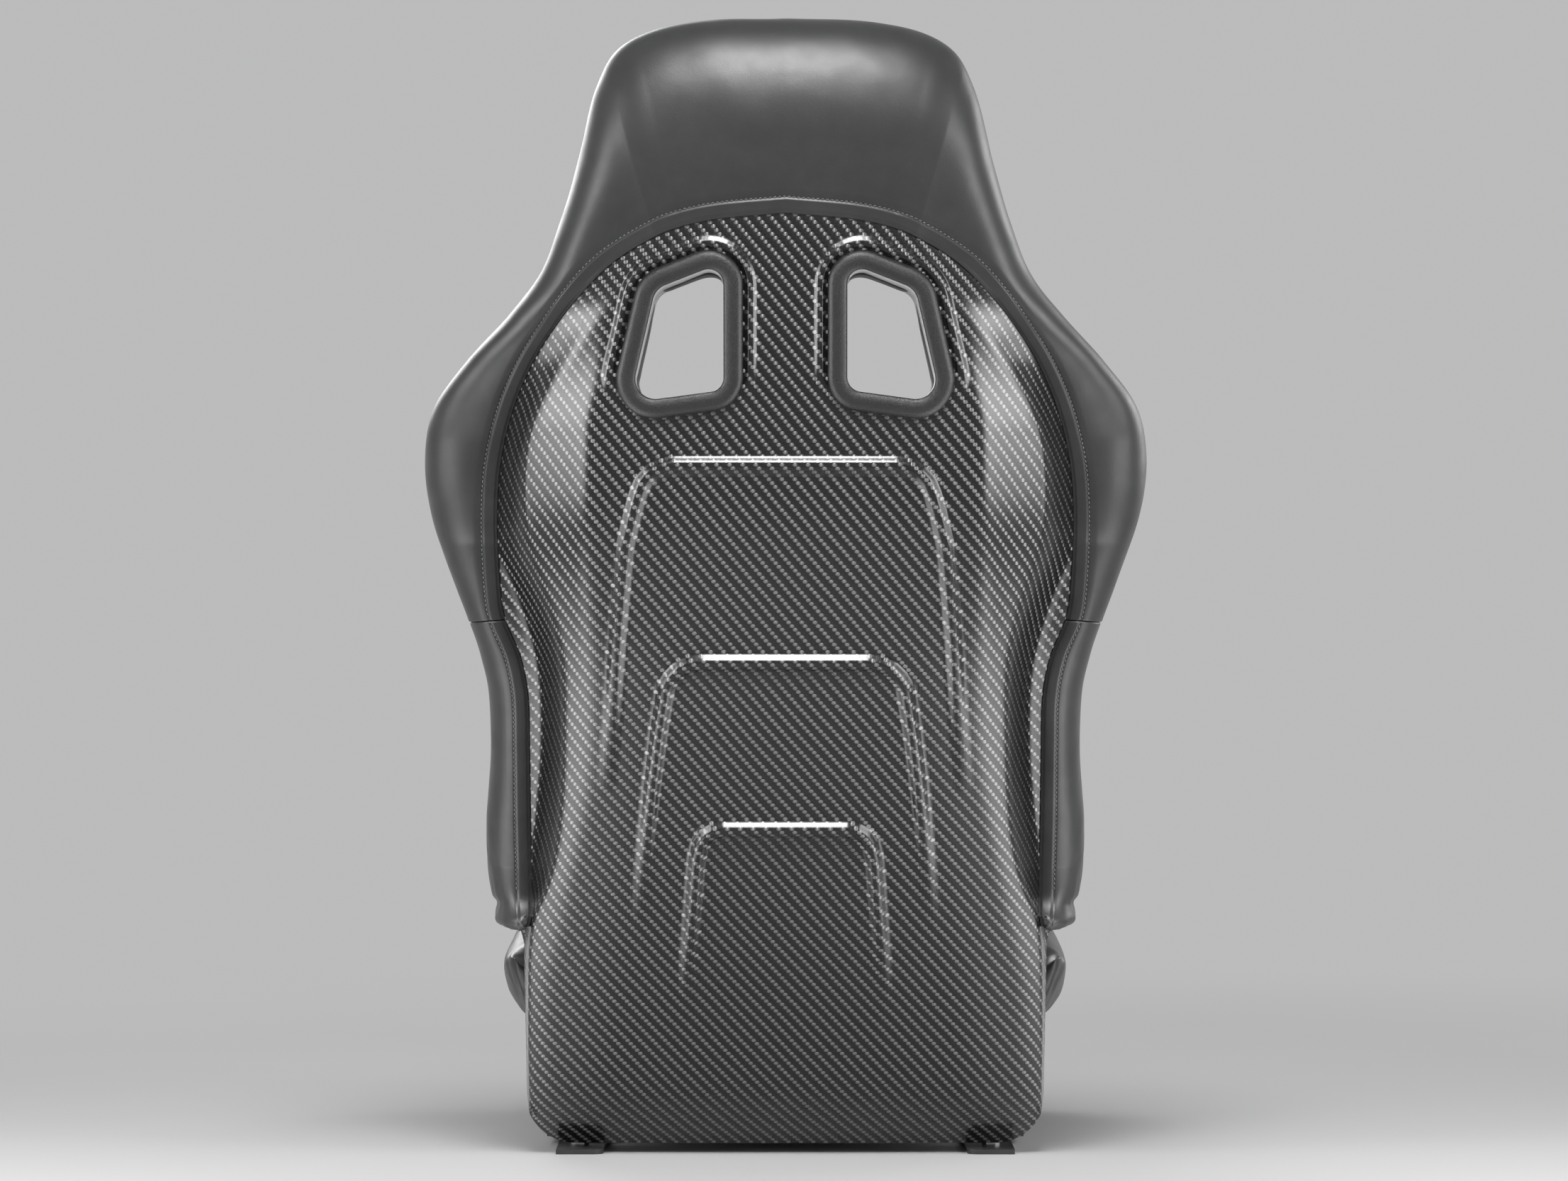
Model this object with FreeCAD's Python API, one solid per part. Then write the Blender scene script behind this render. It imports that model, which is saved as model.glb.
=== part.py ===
"""Reclining racing seat with a carbon back shell, leather bolsters and a separate seat base.

Millimetres. The seat faces -Y, +Z is up and +X is the sitter's left. The origin is the centre of the
four base bolts, on the plane that the seat is bolted to. Heights in this script are counted from a datum
MOUNT_PLANE below that plane, and save() takes the datum off.
"""
import FreeCAD, Part
import math
import os

V = FreeCAD.Vector

# Side profile of the back: depth of the middle of its rear face at each height
REAR_LINE = [(21, 186), (40, 204), (65, 224), (115, 250), (237, 308), (369, 364), (466, 397),
             (560, 422), (712, 441), (800, 445), (870, 441), (940, 425)]
# Half widths of the back shell at each height, from its flat middle out to its forward edge
FLAT_HALF = [(21, 190), (150, 191), (208, 179), (266, 167), (323, 155), (378, 150), (609, 148),
             (650, 138), (712, 122), (760, 88), (830, 70)]
CREASE_HALF = [(21, 213), (140, 212), (208, 208), (240, 195), (266, 187), (300, 182), (360, 179),
               (426, 180), (466, 188), (495, 197), (529, 207), (560, 209.5), (600, 206), (629, 196),
               (658, 179), (692, 155), (712, 138), (760, 105), (830, 86)]
WALL_HALF = [(21, 216), (215, 214), (240, 211), (271, 207), (306, 203), (351, 199), (403, 199),
             (437, 204), (472, 215), (518, 233), (552, 236), (586, 233), (629, 222), (666, 206),
             (701, 181), (734, 156), (769, 118), (830, 100)]
FLANK_SLOPE = [(21, 0.5), (300, 0.56), (600, 0.56), (690, 0.34), (740, 0.2), (830, 0.1)]
WALL_DEPTH = [(21, 40), (300, 43), (600, 43), (650, 34), (690, 20), (720, 11), (770, 7), (830, 5)]
SHELL_BOTTOM = 21.0
SHELL_CORNER = 42.0
SHELL_BOTTOM_HALF = 216.0
SHELL_WALL = 2.5
SHELL_TUCK = 14.0
FLAT_CROWN = 4.0
FLANGE_SLOPE = 0.25

# Leather bolsters: hem on the shell, outer edge and depth, from the top of the head down one side
HEM = [(0, 782), (55, 777), (90, 769), (112, 759), (132, 747), (148, 734), (164, 717), (180, 698),
       (202, 666), (219, 629), (230, 586), (233.5, 540), (232, 486), (228, 458), (216, 428),
       (210, 395), (209.5, 350), (209.5, 290), (209, 245), (208, 212)]
OUTER = [(0, 938), (75, 935), (128, 918), (151, 884), (166, 825), (181, 775), (196, 736), (222, 703),
         (257, 666), (285, 629), (293, 588), (287, 540), (269, 486), (258, 456), (249, 428),
         (243, 397), (242, 350), (246, 290), (245, 245), (234, 203)]
BOLSTER_DEPTH = [124, 123, 121, 118, 114, 112, 113, 118, 128, 138, 147, 150, 150, 150, 150, 150, 150, 144,
                 134, 116]
BOLSTER_INNER = [18, 13, 18, 15, 14, 17, 25, 33, 47, 59, 67, 72, 70, 66, 57, 52, 51, 51, 50, 50]
HEAD_LAST = 5
SHOULDER_LAST = 13
HEM_STEP = 0.5
LEATHER_STEP = 2.0
SEAM_GAP = 0.35
SOFT_GAP = 0.35
PAD_GAP = 0.6
SEAM_PROUD = 4.0
SEAM_ROLL = 9.0
# Places round the bolster from hem to front: share of its width, step in depth, share of its depth
BOLSTER_ROUND = [(0, 0, 0), (0.4, 4, 0), (0.82, -8, 0), (1, -36, 0), (0.97, 0, 0.5), (0.72, 0, 0.84),
                 (0.28, 0, 1)]
BOLSTER_CREST = (0.4, 0.93)
BOLSTER_ROLL_IN = 0.9
BOLSTER_UNDER_HEM = (-5.0, -10.0)

# Backrest pads and frame, as depths forward of the middle of the rear face
PAD_FRONT = 100.0
PAD_BACK = 48.5
PANEL_BACK = 45.5
PANEL_WALL = 2.0
TUBE_DEPTH = 31.0
PAD_BOTTOM = 136.0
PAD_BOTTOM_HALF = 148.0
PAD_CORNER = 24.0
PAD_CROWN = 5.0
PAD_SPLIT = 400.0
PAD_LAYER_HALF = 176.0
PAD_OVERRUN = 8.0
PANEL_BOTTOM = 215.0
PANEL_TOP = 600.0
PANEL_HALF = 163.0
PANEL_EDGE = 18.0
PANEL_SLOT = 12.0
PANEL_SLOT_PITCH = 29.0
HEAD_INSERT = [(90, 790), (97, 845), (82, 886), (-82, 886), (-97, 845), (-90, 790)]
HEAD_FRONT = [(775, 321), (800, 319), (820, 321.5), (840, 325.5), (860, 330), (880, 337), (900, 347)]
HEAD_INSERT_CORNER = 18.0
HEAD_INSERT_PROUD = 8.0
HEAD_INSERT_SUNK = 26.0

# Belt openings: aperture corners on the sitter's left, and the bezels round them
APERTURE = [(103, 721), (49, 742), (49, 641), (124, 631)]
APERTURE_CORNERS = [16, 12, 12, 16]
BEZEL_WIDTH = 15.5
BEZEL_HEIGHT = 8.0
FRONT_BEZEL_HEIGHT = 5.0
FRONT_BEZEL_INSET = 3.0
BEZEL_SEAT = 0.15
BELT_SPAN = (20.0, 148.0)
BELT_LOW = 600.0
BELT_HIGH = 780.0
LINER_WALL = 2.0
LINER_GAP = 0.4
LINER_END = 1.1

# Backrest frame
FRAME_TUBE = 22.0
FRAME_BORE = 18.0
UPRIGHT_PATH = [(158, 185), (158, 330), (158, 480), (158, 606), (126, 788)]
TOP_TUBE_HEIGHT = 772.0
MIDDLE_TUBE_HEIGHT = 598.0
LOWER_TUBE_HEIGHT = 205.0
UPRIGHT_BEND = 150.0
MOUNT_HEIGHTS = (250.0, 400.0, 550.0)
MOUNT_BOSS = 18.0
MOUNT_INSET = 6.0
BOND_GAP = 0.3
UPPER_PLATE_WALL = 4.0
UPPER_PLATE_TOP = 325.0

# Recliner
PIVOT_Y = 175.0
PIVOT_Z = 115.0
ROD_DIAMETER = 10.0
ROD_GAP = 0.05
RECLINER_DIAMETER = 66.0
RECLINER_HALF_THICKNESS = 7.3
RECLINER_RUNNING_GAP = 0.3
RECLINER_BOLT = 6.0
RECLINER_BOLT_CIRCLE = 44.0
BOLT_GAP = 0.2
BOLT_HEAD = 5.5
BOLT_HEAD_HEIGHT = 3.6
SPRING_INNER = 6.2
SPRING_PITCH = 2.6
SPRING_WALL = 1.1
SPRING_WIDTH = 3.5
SPRING_GAP = 0.3
SPRING_TURNS = 2.5
LEVER_HUB = 24.0
LEVER_HUB_X = 196.0
LEVER_HUB_LENGTH = 13.0
LEVER_RISE = -42.0
LEVER_GRIP_WIDTH = 13.0
LEVER_WALL = 4.0
LEVER_LENGTH = 205.0
LEVER_GRIP_LENGTH = 110.0

# Base
MOUNT_PLANE = 13.0
BOLT_SPACING_X = 345.0
BOLT_SPACING_Y = 290.0
BOLT_HOLE = 8.4
NUT_ACROSS = 13.0
NUT_HEIGHT = 6.5
FOOT_WALL = 4.0
FOOT_WIDTH = 42.0
FOOT_REAR = 200.0
SIDE_REAR_FOOT = 112.0
SIDE_WALL = 3.0
BASE_FRONT = -262.0
SIDE_TOP_FRONT = 92.0
SIDE_TOP_REAR = 78.0
BASE_TUBE = 25.0
BASE_TUBE_BORE = 21.0
FRONT_TUBE_Y = -228.0
FRONT_TUBE_Z = 70.0
REAR_TUBE_Y = 92.0
REAR_TUBE_Z = 52.0
PAN_WALL = 1.5
PAN_SEAT = 0.1
PAN_SAG = 9.0
PAN_SIDE_GAP = 0.3
PAN_FRONT_Y = -244.0
PAN_REAR_Y = 110.0
CUSHION_HALF = 150.0
CUSHION_FRONT = -236.0
CUSHION_REAR = 141.0
CUSHION_TOP = [(141, 126), (128, 141), (90, 146), (0, 147), (-120, 156), (-200, 166), (-236, 168)]
NOSE_FRONT = -302.0
NOSE_HALF = 222.0
NOSE_CORNER = 9.0
THIGH_STATIONS = [(-235.5, 224, 186), (-150, 231, 203), (-40, 238, 212), (50, 240, 207), (92, 238, 192),
                  (128, 230, 174)]
THIGH_STEP = 28.0
THIGH_LEDGE = (16.0, 1.0)
THIGH_CHEEK = [(4.0, 28.0), (0.0, 58.0)]
THIGH_SHOULDER = 12.0
THIGH_INNER = [(12.0, 16.0), (0.0, 46.0)]
COVER_REAR = 110.0
COVER_TOP = 116.0
COVER_SCREWS = [(-205, 45), (-205, 78), (60, 45)]
COVER_SCREW = 4.0
COVER_GAP = 2.0
COVER_WALL = 2.5
COVER_DEPTH = 9.0
SCREW_HEAD = 9.0
SCREW_HEAD_HEIGHT = 2.4
SCREW_SOCKET = 2.2


def value_at(stations, position):
    """Smooth value between stations, held flat beyond the first and last."""
    if position <= stations[0][0]:
        return float(stations[0][1])
    if position >= stations[-1][0]:
        return float(stations[-1][1])
    last = len(stations) - 1
    slopes = []
    for index in range(len(stations)):
        low = stations[max(index - 1, 0)]
        high = stations[min(index + 1, last)]
        slopes.append((high[1] - low[1]) / (high[0] - low[0]))
    for index in range(last):
        (x0, y0), (x1, y1) = stations[index], stations[index + 1]
        if position <= x1:
            span = x1 - x0
            t = (position - x0) / span
            return ((2 * t**3 - 3 * t**2 + 1) * y0 + (t**3 - 2 * t**2 + t) * span * slopes[index]
                    + (3 * t**2 - 2 * t**3) * y1 + (t**3 - t**2) * span * slopes[index + 1])


def shell_marks(z):
    """Half widths where the rear face turns: flat edge, crease, foot of the wall and flange end."""
    flat = value_at(FLAT_HALF, z)
    crease = value_at(CREASE_HALF, z)
    wall = value_at(WALL_HALF, z)
    return flat, max(crease, flat + 4), max(wall, crease + 2), max(wall, crease + 2) + 26


def rear_face(x, z):
    """Depth of the outer face of the shell at a point of the rear view."""
    flat, crease, wall, _ = shell_marks(z)
    x = abs(x)
    depth = value_at(REAR_LINE, z) - FLAT_CROWN * min(x / flat, 1) ** 2
    if x > flat:
        width = min(x, crease) - flat
        ease = min(14.0, 0.6 * (crease - flat))
        slope = value_at(FLANK_SLOPE, z)
        depth -= slope * (width - ease / 2 if width > ease else width * width / (2 * ease))
    if x > crease:
        depth -= value_at(WALL_DEPTH, z) * (min(x, wall) - crease) / (wall - crease)
    if x > wall:
        depth -= FLANGE_SLOPE * (x - wall)
    return depth


def spline(points):
    curve = Part.BSplineCurve()
    curve.interpolate(points)
    return curve.toShape()


def line(start, end):
    return Part.LineSegment(start, end).toShape()


def loft(wires, ruled=False):
    return Part.makeLoft(wires, True, ruled)


def mirrored(shape):
    return shape.mirror(V(0, 0, 0), V(1, 0, 0))


def main_solid(shape):
    """The largest solid of a cut or common result."""
    return max(shape.Solids, key=lambda solid: solid.Volume)


def rounded_wire(corners, radii, place):
    """Closed outline of straight runs joined by tangent arcs; place maps (a, b) into space."""
    count = len(corners)
    if not isinstance(radii, (list, tuple)):
        radii = [radii] * count
    arcs = []
    for index in range(count):
        before = V(*corners[index - 1], 0)
        here = V(*corners[index], 0)
        after = V(*corners[(index + 1) % count], 0)
        back = (before - here).normalize()
        on = (after - here).normalize()
        half = back.getAngle(on) / 2
        reach = radii[index] / math.tan(half)
        centre = here + (back + on).normalize() * (radii[index] / math.sin(half))
        middle = centre + (here - centre).normalize() * radii[index]
        arcs.append((here + back * reach, middle, here + on * reach))
    edges = []
    for index in range(count):
        start, middle, end = [place(point.x, point.y) for point in arcs[index]]
        edges.append(Part.Arc(start, middle, end).toShape())
        following = arcs[(index + 1) % count][0]
        following = place(following.x, following.y)
        if end.distanceToPoint(following) > 0.01:
            edges.append(line(end, following))
    return Part.Wire(edges)


def grown(corners, amount):
    """Corners of a convex outline moved out by an amount, square to its sides."""
    turn = sum(corners[i - 1][0] * corners[i][1] - corners[i][0] * corners[i - 1][1]
               for i in range(len(corners)))
    sign = 1 if turn > 0 else -1
    result = []
    for index, corner in enumerate(corners):
        before = corners[index - 1]
        after = corners[(index + 1) % len(corners)]
        normals = []
        for a, b in ((before, corner), (corner, after)):
            length = math.hypot(b[0] - a[0], b[1] - a[1])
            normals.append((sign * (b[1] - a[1]) / length, -sign * (b[0] - a[0]) / length))
        dot = 1 + normals[0][0] * normals[1][0] + normals[0][1] * normals[1][1]
        result.append((corner[0] + amount * (normals[0][0] + normals[1][0]) / dot,
                       corner[1] + amount * (normals[0][1] + normals[1][1]) / dot))
    return result


def prism_y(corners, radii, y0, y1):
    """Outline in the rear view, carried along Y."""
    wire = rounded_wire(corners, radii, lambda x, z: V(x, y0, z))
    return Part.Face(wire).extrude(V(0, y1 - y0, 0))


def prism_x(corners, radii, x0, x1):
    """Outline in the side view, carried along X."""
    wire = rounded_wire(corners, radii, lambda y, z: V(x0, y, z))
    return Part.Face(wire).extrude(V(x1 - x0, 0, 0))


def rod_x(radius, x0, x1, y, z):
    return Part.makeCylinder(radius, x1 - x0, V(x0, y, z), V(1, 0, 0))


def rod_z(radius, x, y, z0, z1):
    return Part.makeCylinder(radius, z1 - z0, V(x, y, z0), V(0, 0, 1))


def bent_tube(points, bends, diameter, bore):
    """Tube of straight runs and tangent arcs."""
    edges = []
    start = points[0]
    for index in range(1, len(points) - 1):
        here = points[index]
        back = (points[index - 1] - here).normalize()
        on = (points[index + 1] - here).normalize()
        half = back.getAngle(on) / 2
        reach = bends / math.tan(half)
        centre = here + (back + on).normalize() * (bends / math.sin(half))
        middle = centre + (here - centre).normalize() * bends
        edges.append(line(start, here + back * reach))
        edges.append(Part.Arc(here + back * reach, middle, here + on * reach).toShape())
        start = here + on * reach
    edges.append(line(start, points[-1]))
    path = Part.Wire(edges)
    along = (points[1] - points[0]).normalize()
    solids = []
    for size in (diameter, bore):
        if size:
            ring = Part.Wire([Part.Circle(points[0], along, size / 2).toShape()])
            solids.append(path.makePipeShell([ring], True, True))
    return main_solid(solids[0].cut(solids[1:])) if bore else solids[0]


def levels(low, high, step):
    count = max(2, round((high - low) / step))
    return [low + (high - low) * index / count for index in range(count + 1)]


def shell_layer(outer, inner, low, high):
    """Closed layer that follows the shell between two offsets forward of its outer face."""
    wires = []
    for z in levels(low, high, 27.0):
        flat, crease, wall, flange = shell_marks(z)
        lean = (value_at(REAR_LINE, z + 1) - value_at(REAR_LINE, z - 1)) / 2
        stretch = math.hypot(1, lean)
        slope = value_at(FLANK_SLOPE, z)
        steep = value_at(WALL_DEPTH, z) / (wall - crease)
        rows = []
        for offset in (outer, inner):
            step = offset * stretch
            flank_x = offset * slope / math.hypot(1, slope)
            flank_y = offset / math.hypot(1, slope) * stretch
            turn = math.tan((math.atan(steep) - math.atan(slope)) / 2)
            crease_x = crease - flank_x - turn * offset / math.hypot(1, slope)
            crease_y = rear_face(crease, z) - flank_y + turn * offset * slope
            foot = math.tan((math.atan(steep) - math.atan(FLANGE_SLOPE)) / 2)
            wall_x = wall - foot * offset
            wall_y = rear_face(wall, z) - offset * stretch
            half_row = [V(x, rear_face(x, z) - step, z)
                        for x in (0, flat * 0.35, flat * 0.7, flat * 0.9)]
            start = flat + (crease - flat) * 0.15
            half_row.append(V(start, rear_face(start, z) - step, z))
            middle = flat * 0.35 + crease * 0.65
            half_row.append(V(middle - flank_x, rear_face(middle, z) - flank_y, z))
            half_row.append(V(crease_x, crease_y, z))
            rows.append((half_row, V(wall_x, wall_y, z),
                         V(flange, rear_face(flange, z) - offset * stretch, z)))
        edges = []
        (back_out, wall_out, flange_out), (back_in, wall_in, flange_in) = rows
        flip = lambda point: V(-point.x, point.y, point.z)
        full_out = [flip(point) for point in reversed(back_out[1:])] + back_out
        full_in = [flip(point) for point in reversed(back_in[1:])] + back_in
        edges.append(line(flip(flange_out), flip(wall_out)))
        edges.append(line(flip(wall_out), flip(back_out[-1])))
        edges.append(spline(full_out))
        edges.append(line(back_out[-1], wall_out))
        edges.append(line(wall_out, flange_out))
        edges.append(line(flange_out, flange_in))
        edges.append(line(flange_in, wall_in))
        edges.append(line(wall_in, back_in[-1]))
        edges.append(spline(list(reversed(full_in))))
        edges.append(line(flip(back_in[-1]), flip(wall_in)))
        edges.append(line(flip(wall_in), flip(flange_in)))
        edges.append(line(flip(flange_in), flip(flange_out)))
        wires.append(Part.Wire(edges))
    return loft(wires)


def lean_stretch(z):
    """Length along the leaning rear face for each unit of height."""
    return math.hypot(1, (value_at(REAR_LINE, z + 1) - value_at(REAR_LINE, z - 1)) / 2)


def forward(x, z, offset):
    """Depth at an offset forward of the shell's outer face, square to its lean."""
    return rear_face(x, z) - offset * lean_stretch(z)


def forward_flat(z, offset):
    """Depth at an offset forward of the middle of the rear face."""
    return value_at(REAR_LINE, z) - offset * lean_stretch(z)


def centre_layer(left, right, back_at, front_at, low, high):
    """Layer across part of the back between two depths, each a function of x and z."""
    wires = []
    for z in levels(low, high, 30.0):
        spread = levels(left, right, (right - left) / 8)
        rear_row = [V(x, back_at(x, z), z) for x in spread]
        front_row = [V(x, front_at(x, z), z) for x in reversed(spread)]
        wires.append(Part.Wire([spline(rear_row), line(rear_row[-1], front_row[0]),
                                spline(front_row), line(front_row[-1], rear_row[0])]))
    return loft(wires)


def on_side(side, shape):
    """The left-hand piece as modelled, or its mirror image on the right."""
    return shape if side == "left" else mirrored(shape)


def tucked_hem():
    """Edge of the shell under the leather, from the lower end of one side up to the top."""
    points = []
    for (hx, hz), (sx, sz) in zip(HEM, OUTER):
        reach = math.hypot(sx - hx, sz - hz)
        points.append((hx + SHELL_TUCK * (sx - hx) / reach, hz + SHELL_TUCK * (sz - hz) / reach))
    return list(reversed(points))


def shell_outline(margin=0.0):
    """Prism of the shell's outline in the rear view."""
    edge = tucked_hem()
    half = SHELL_BOTTOM_HALF + margin
    low = SHELL_BOTTOM - margin
    corner = SHELL_CORNER
    diagonal = corner * (1 - math.sqrt(0.5))
    side_top = edge[0][1] - 22.0
    right = [V(x + margin, 0, z) for x, z in edge[:-1]]
    top = V(0, 0, edge[-1][1] + margin)
    arch = right + [top] + [V(-point.x, 0, point.z) for point in reversed(right)]
    edges = [spline(arch)]
    edges.append(line(arch[-1], V(-half, 0, side_top)))
    edges.append(line(V(-half, 0, side_top), V(-half, 0, low + corner)))
    edges.append(Part.Arc(V(-half, 0, low + corner), V(-half + diagonal, 0, low + diagonal),
                          V(-half + corner, 0, low)).toShape())
    edges.append(line(V(-half + corner, 0, low), V(half - corner, 0, low)))
    edges.append(Part.Arc(V(half - corner, 0, low), V(half - diagonal, 0, low + diagonal),
                          V(half, 0, low + corner)).toShape())
    edges.append(line(V(half, 0, low + corner), V(half, 0, side_top)))
    edges.append(line(V(half, 0, side_top), arch[0]))
    return Part.Face(Part.Wire(edges)).extrude(V(0, 600, 0))


def belt_prism(growth, y0=150.0, y1=600.0):
    """Belt opening on the left, grown by an amount."""
    corners = grown(APERTURE, growth)
    radii = [radius + growth for radius in APERTURE_CORNERS]
    return prism_y(corners, radii, y0, y1)


def carbon_back_shell():
    skin = shell_layer(0.0, SHELL_WALL, SHELL_BOTTOM - 2, HEM[0][1] + SHELL_TUCK + 6)
    skin = main_solid(skin.common(shell_outline()))
    hole = belt_prism(LINER_WALL + LINER_GAP)
    skin = skin.cut(hole).cut(mirrored(hole))
    return main_solid(skin)


def along_hem(points, t):
    """Point of an outline at a place between its stations."""
    return tuple(value_at([(i, point[axis]) for i, point in enumerate(points)], t) for axis in (0, 1))


def seam_point(t, gap=0.0):
    """Front seam of the bolster in the rear view, and the direction across it."""
    hem = along_hem(HEM, t)
    outer = along_hem(OUTER, t)
    width = math.hypot(outer[0] - hem[0], outer[1] - hem[1])
    along = ((outer[0] - hem[0]) / width, (outer[1] - hem[1]) / width)
    inner = value_at(list(enumerate(BOLSTER_INNER)), t) + gap
    return (hem[0] - inner * along[0], hem[1] - inner * along[1]), along, width


def bolster_section(t):
    """Closed outline across the leather at a place along the hem."""
    hem = along_hem(HEM, t)
    depth = value_at(list(enumerate(BOLSTER_DEPTH)), t)
    inner = value_at(list(enumerate(BOLSTER_INNER)), t)
    _, along, width = seam_point(t)
    base = rear_face(*hem) + LEATHER_STEP

    def place(u, v):
        return V(hem[0] + u * along[0], base + v, hem[1] + u * along[1])

    seam = place(-inner, 0)
    front_seam = V(seam.x, forward_flat(seam.z, PAD_FRONT + PAD_CROWN + SEAM_PROUD), seam.z)
    back_seam = V(seam.x, forward_flat(seam.z, PAD_BACK + SEAM_PROUD), seam.z)
    roll_in = place(-BOLSTER_ROLL_IN * inner, 0)
    roll_in.y = front_seam.y - SEAM_ROLL
    round_points = [place(share * width, step - deep * depth) for share, step, deep in BOLSTER_ROUND]
    crest = place(-BOLSTER_CREST[0] * inner, -BOLSTER_CREST[1] * depth)
    crest.y = min(crest.y, roll_in.y - SEAM_ROLL / 2)
    round_points += [crest, roll_in, front_seam]
    near_hem = place(*BOLSTER_UNDER_HEM)
    return Part.Wire([spline(round_points), line(front_seam, back_seam), line(back_seam, near_hem),
                      line(near_hem, round_points[0])])


def seam_shift(index):
    """Step along the hem that opens half a seam gap at a station."""
    a, b = OUTER[index], OUTER[index + 1]
    return SEAM_GAP / math.hypot(b[0] - a[0], b[1] - a[1])


def bolster(first, last, open_first, open_last):
    start = first + (seam_shift(first) if open_first else 0)
    end = last - (seam_shift(last) if open_last else 0)
    return loft([bolster_section(t) for t in levels(start, end, HEM_STEP)])


def head_roll():
    end = HEAD_LAST - seam_shift(HEAD_LAST)
    right = [bolster_section(t) for t in reversed(levels(0, end, HEM_STEP)[1:])]
    left = [mirrored(wire) for wire in right]
    return loft(left + [bolster_section(0)] + list(reversed(right)))


def upright_rod(diameter, bore=0.0):
    points = [V(x, forward_flat(z, TUBE_DEPTH), z) for x, z in UPRIGHT_PATH]
    return bent_tube(points, UPRIGHT_BEND, diameter, bore)


def upright_x(z):
    """Half width of the upright's middle line at a height."""
    (x0, z0), (x1, z1) = UPRIGHT_PATH[-2:]
    return x0 if z <= z0 else x0 + (x1 - x0) * (z - z0) / (z1 - z0)


def back_cross_tube(height):
    half = upright_x(height)
    y = forward_flat(height, TUBE_DEPTH)
    tube = rod_x(FRAME_TUBE / 2, -half, half, y, height).cut(rod_x(FRAME_BORE / 2, -half, half, y, height))
    upright = upright_rod(FRAME_TUBE)
    return main_solid(tube.cut(upright).cut(mirrored(upright)))


def frame_envelope():
    """Room for the frame inside the head roll."""
    growth = 2 * SOFT_GAP
    upright = upright_rod(FRAME_TUBE + growth)
    half = upright_x(TOP_TUBE_HEIGHT)
    y = forward_flat(TOP_TUBE_HEIGHT, TUBE_DEPTH)
    return [upright, mirrored(upright), rod_x((FRAME_TUBE + growth) / 2, -half, half, y, TOP_TUBE_HEIGHT)]


def shell_envelope():
    layer = shell_layer(-SOFT_GAP, SHELL_WALL + SOFT_GAP, SHELL_BOTTOM - 2, HEM[0][1] + SHELL_TUCK + 6)
    return main_solid(layer.common(shell_outline(SOFT_GAP)))


def belt_bezel(side, room):
    """Ring round a belt opening, bonded to the shell; room is the shell with its bond gap."""
    layer = centre_layer(*BELT_SPAN, lambda x, z: forward(x, z, -BEZEL_HEIGHT),
                         lambda x, z: forward(x, z, SHELL_WALL / 2), BELT_LOW, BELT_HIGH)
    ring = belt_prism(BEZEL_WIDTH).cut(belt_prism(0))
    return on_side(side, main_solid(layer.common(ring).cut(room)))


def front_depth(x, z):
    return forward_flat(z, PAD_FRONT + PAD_CROWN * (1 - (x / PAD_LAYER_HALF) ** 2))


def belt_front_bezel(side):
    layer = centre_layer(*BELT_SPAN, lambda x, z: front_depth(x, z) - BEZEL_SEAT,
                         lambda x, z: front_depth(x, z) - FRONT_BEZEL_HEIGHT, BELT_LOW, BELT_HIGH)
    ring = belt_prism(BEZEL_WIDTH - FRONT_BEZEL_INSET).cut(belt_prism(0))
    return on_side(side, main_solid(layer.common(ring)))


def belt_liner(side):
    layer = centre_layer(*BELT_SPAN, lambda x, z: forward(x, z, LINER_END),
                         lambda x, z: front_depth(x, z) - BEZEL_SEAT + 0.05, BELT_LOW, BELT_HIGH)
    ring = belt_prism(LINER_WALL).cut(belt_prism(0))
    return on_side(side, main_solid(layer.common(ring)))


def pad_outline(gap):
    """Prism inside the front seam of the bolsters, down to the foot of the back."""
    points = [seam_point(t, gap)[0] for t in levels(0, len(HEM) - 1, HEM_STEP)]
    right = [V(x, 0, z) for x, z in reversed(points[1:])]
    arch = right + [V(0, 0, points[0][1])] + [V(-point.x, 0, point.z) for point in reversed(right)]
    half = PAD_BOTTOM_HALF
    corner = PAD_CORNER
    low = PAD_BOTTOM
    bend = corner * (1 - math.sqrt(0.5))
    edges = [spline(arch), line(arch[-1], V(-half, 0, low + corner))]
    edges.append(Part.Arc(V(-half, 0, low + corner), V(-half + bend, 0, low + bend),
                          V(-half + corner, 0, low)).toShape())
    edges.append(line(V(-half + corner, 0, low), V(half - corner, 0, low)))
    edges.append(Part.Arc(V(half - corner, 0, low), V(half - bend, 0, low + bend),
                          V(half, 0, low + corner)).toShape())
    edges.append(line(V(half, 0, low + corner), arch[0]))
    return Part.Face(Part.Wire(edges)).extrude(V(0, 600, 0))


def back_pads():
    """The lumbar pad and the upper pad, which the belt tunnels pass through."""
    layer = centre_layer(-PAD_LAYER_HALF, PAD_LAYER_HALF, lambda x, z: forward_flat(z, PAD_BACK),
                         front_depth, PAD_BOTTOM - PAD_OVERRUN, HEM[0][1] - BOLSTER_INNER[0] + PAD_OVERRUN)
    pad = main_solid(layer.common(pad_outline(PAD_GAP)))
    wide = 2 * PAD_LAYER_HALF
    below = Part.makeBox(wide, 600, PAD_SPLIT - SEAM_GAP / 2, V(-wide / 2, 0, 0))
    above = Part.makeBox(wide, 600, 800, V(-wide / 2, 0, PAD_SPLIT + SEAM_GAP / 2))
    hole = belt_prism(LINER_WALL + SOFT_GAP)
    upper = pad.common(above).cut(hole).cut(mirrored(hole))
    return main_solid(pad.common(below)), main_solid(upper)


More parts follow.
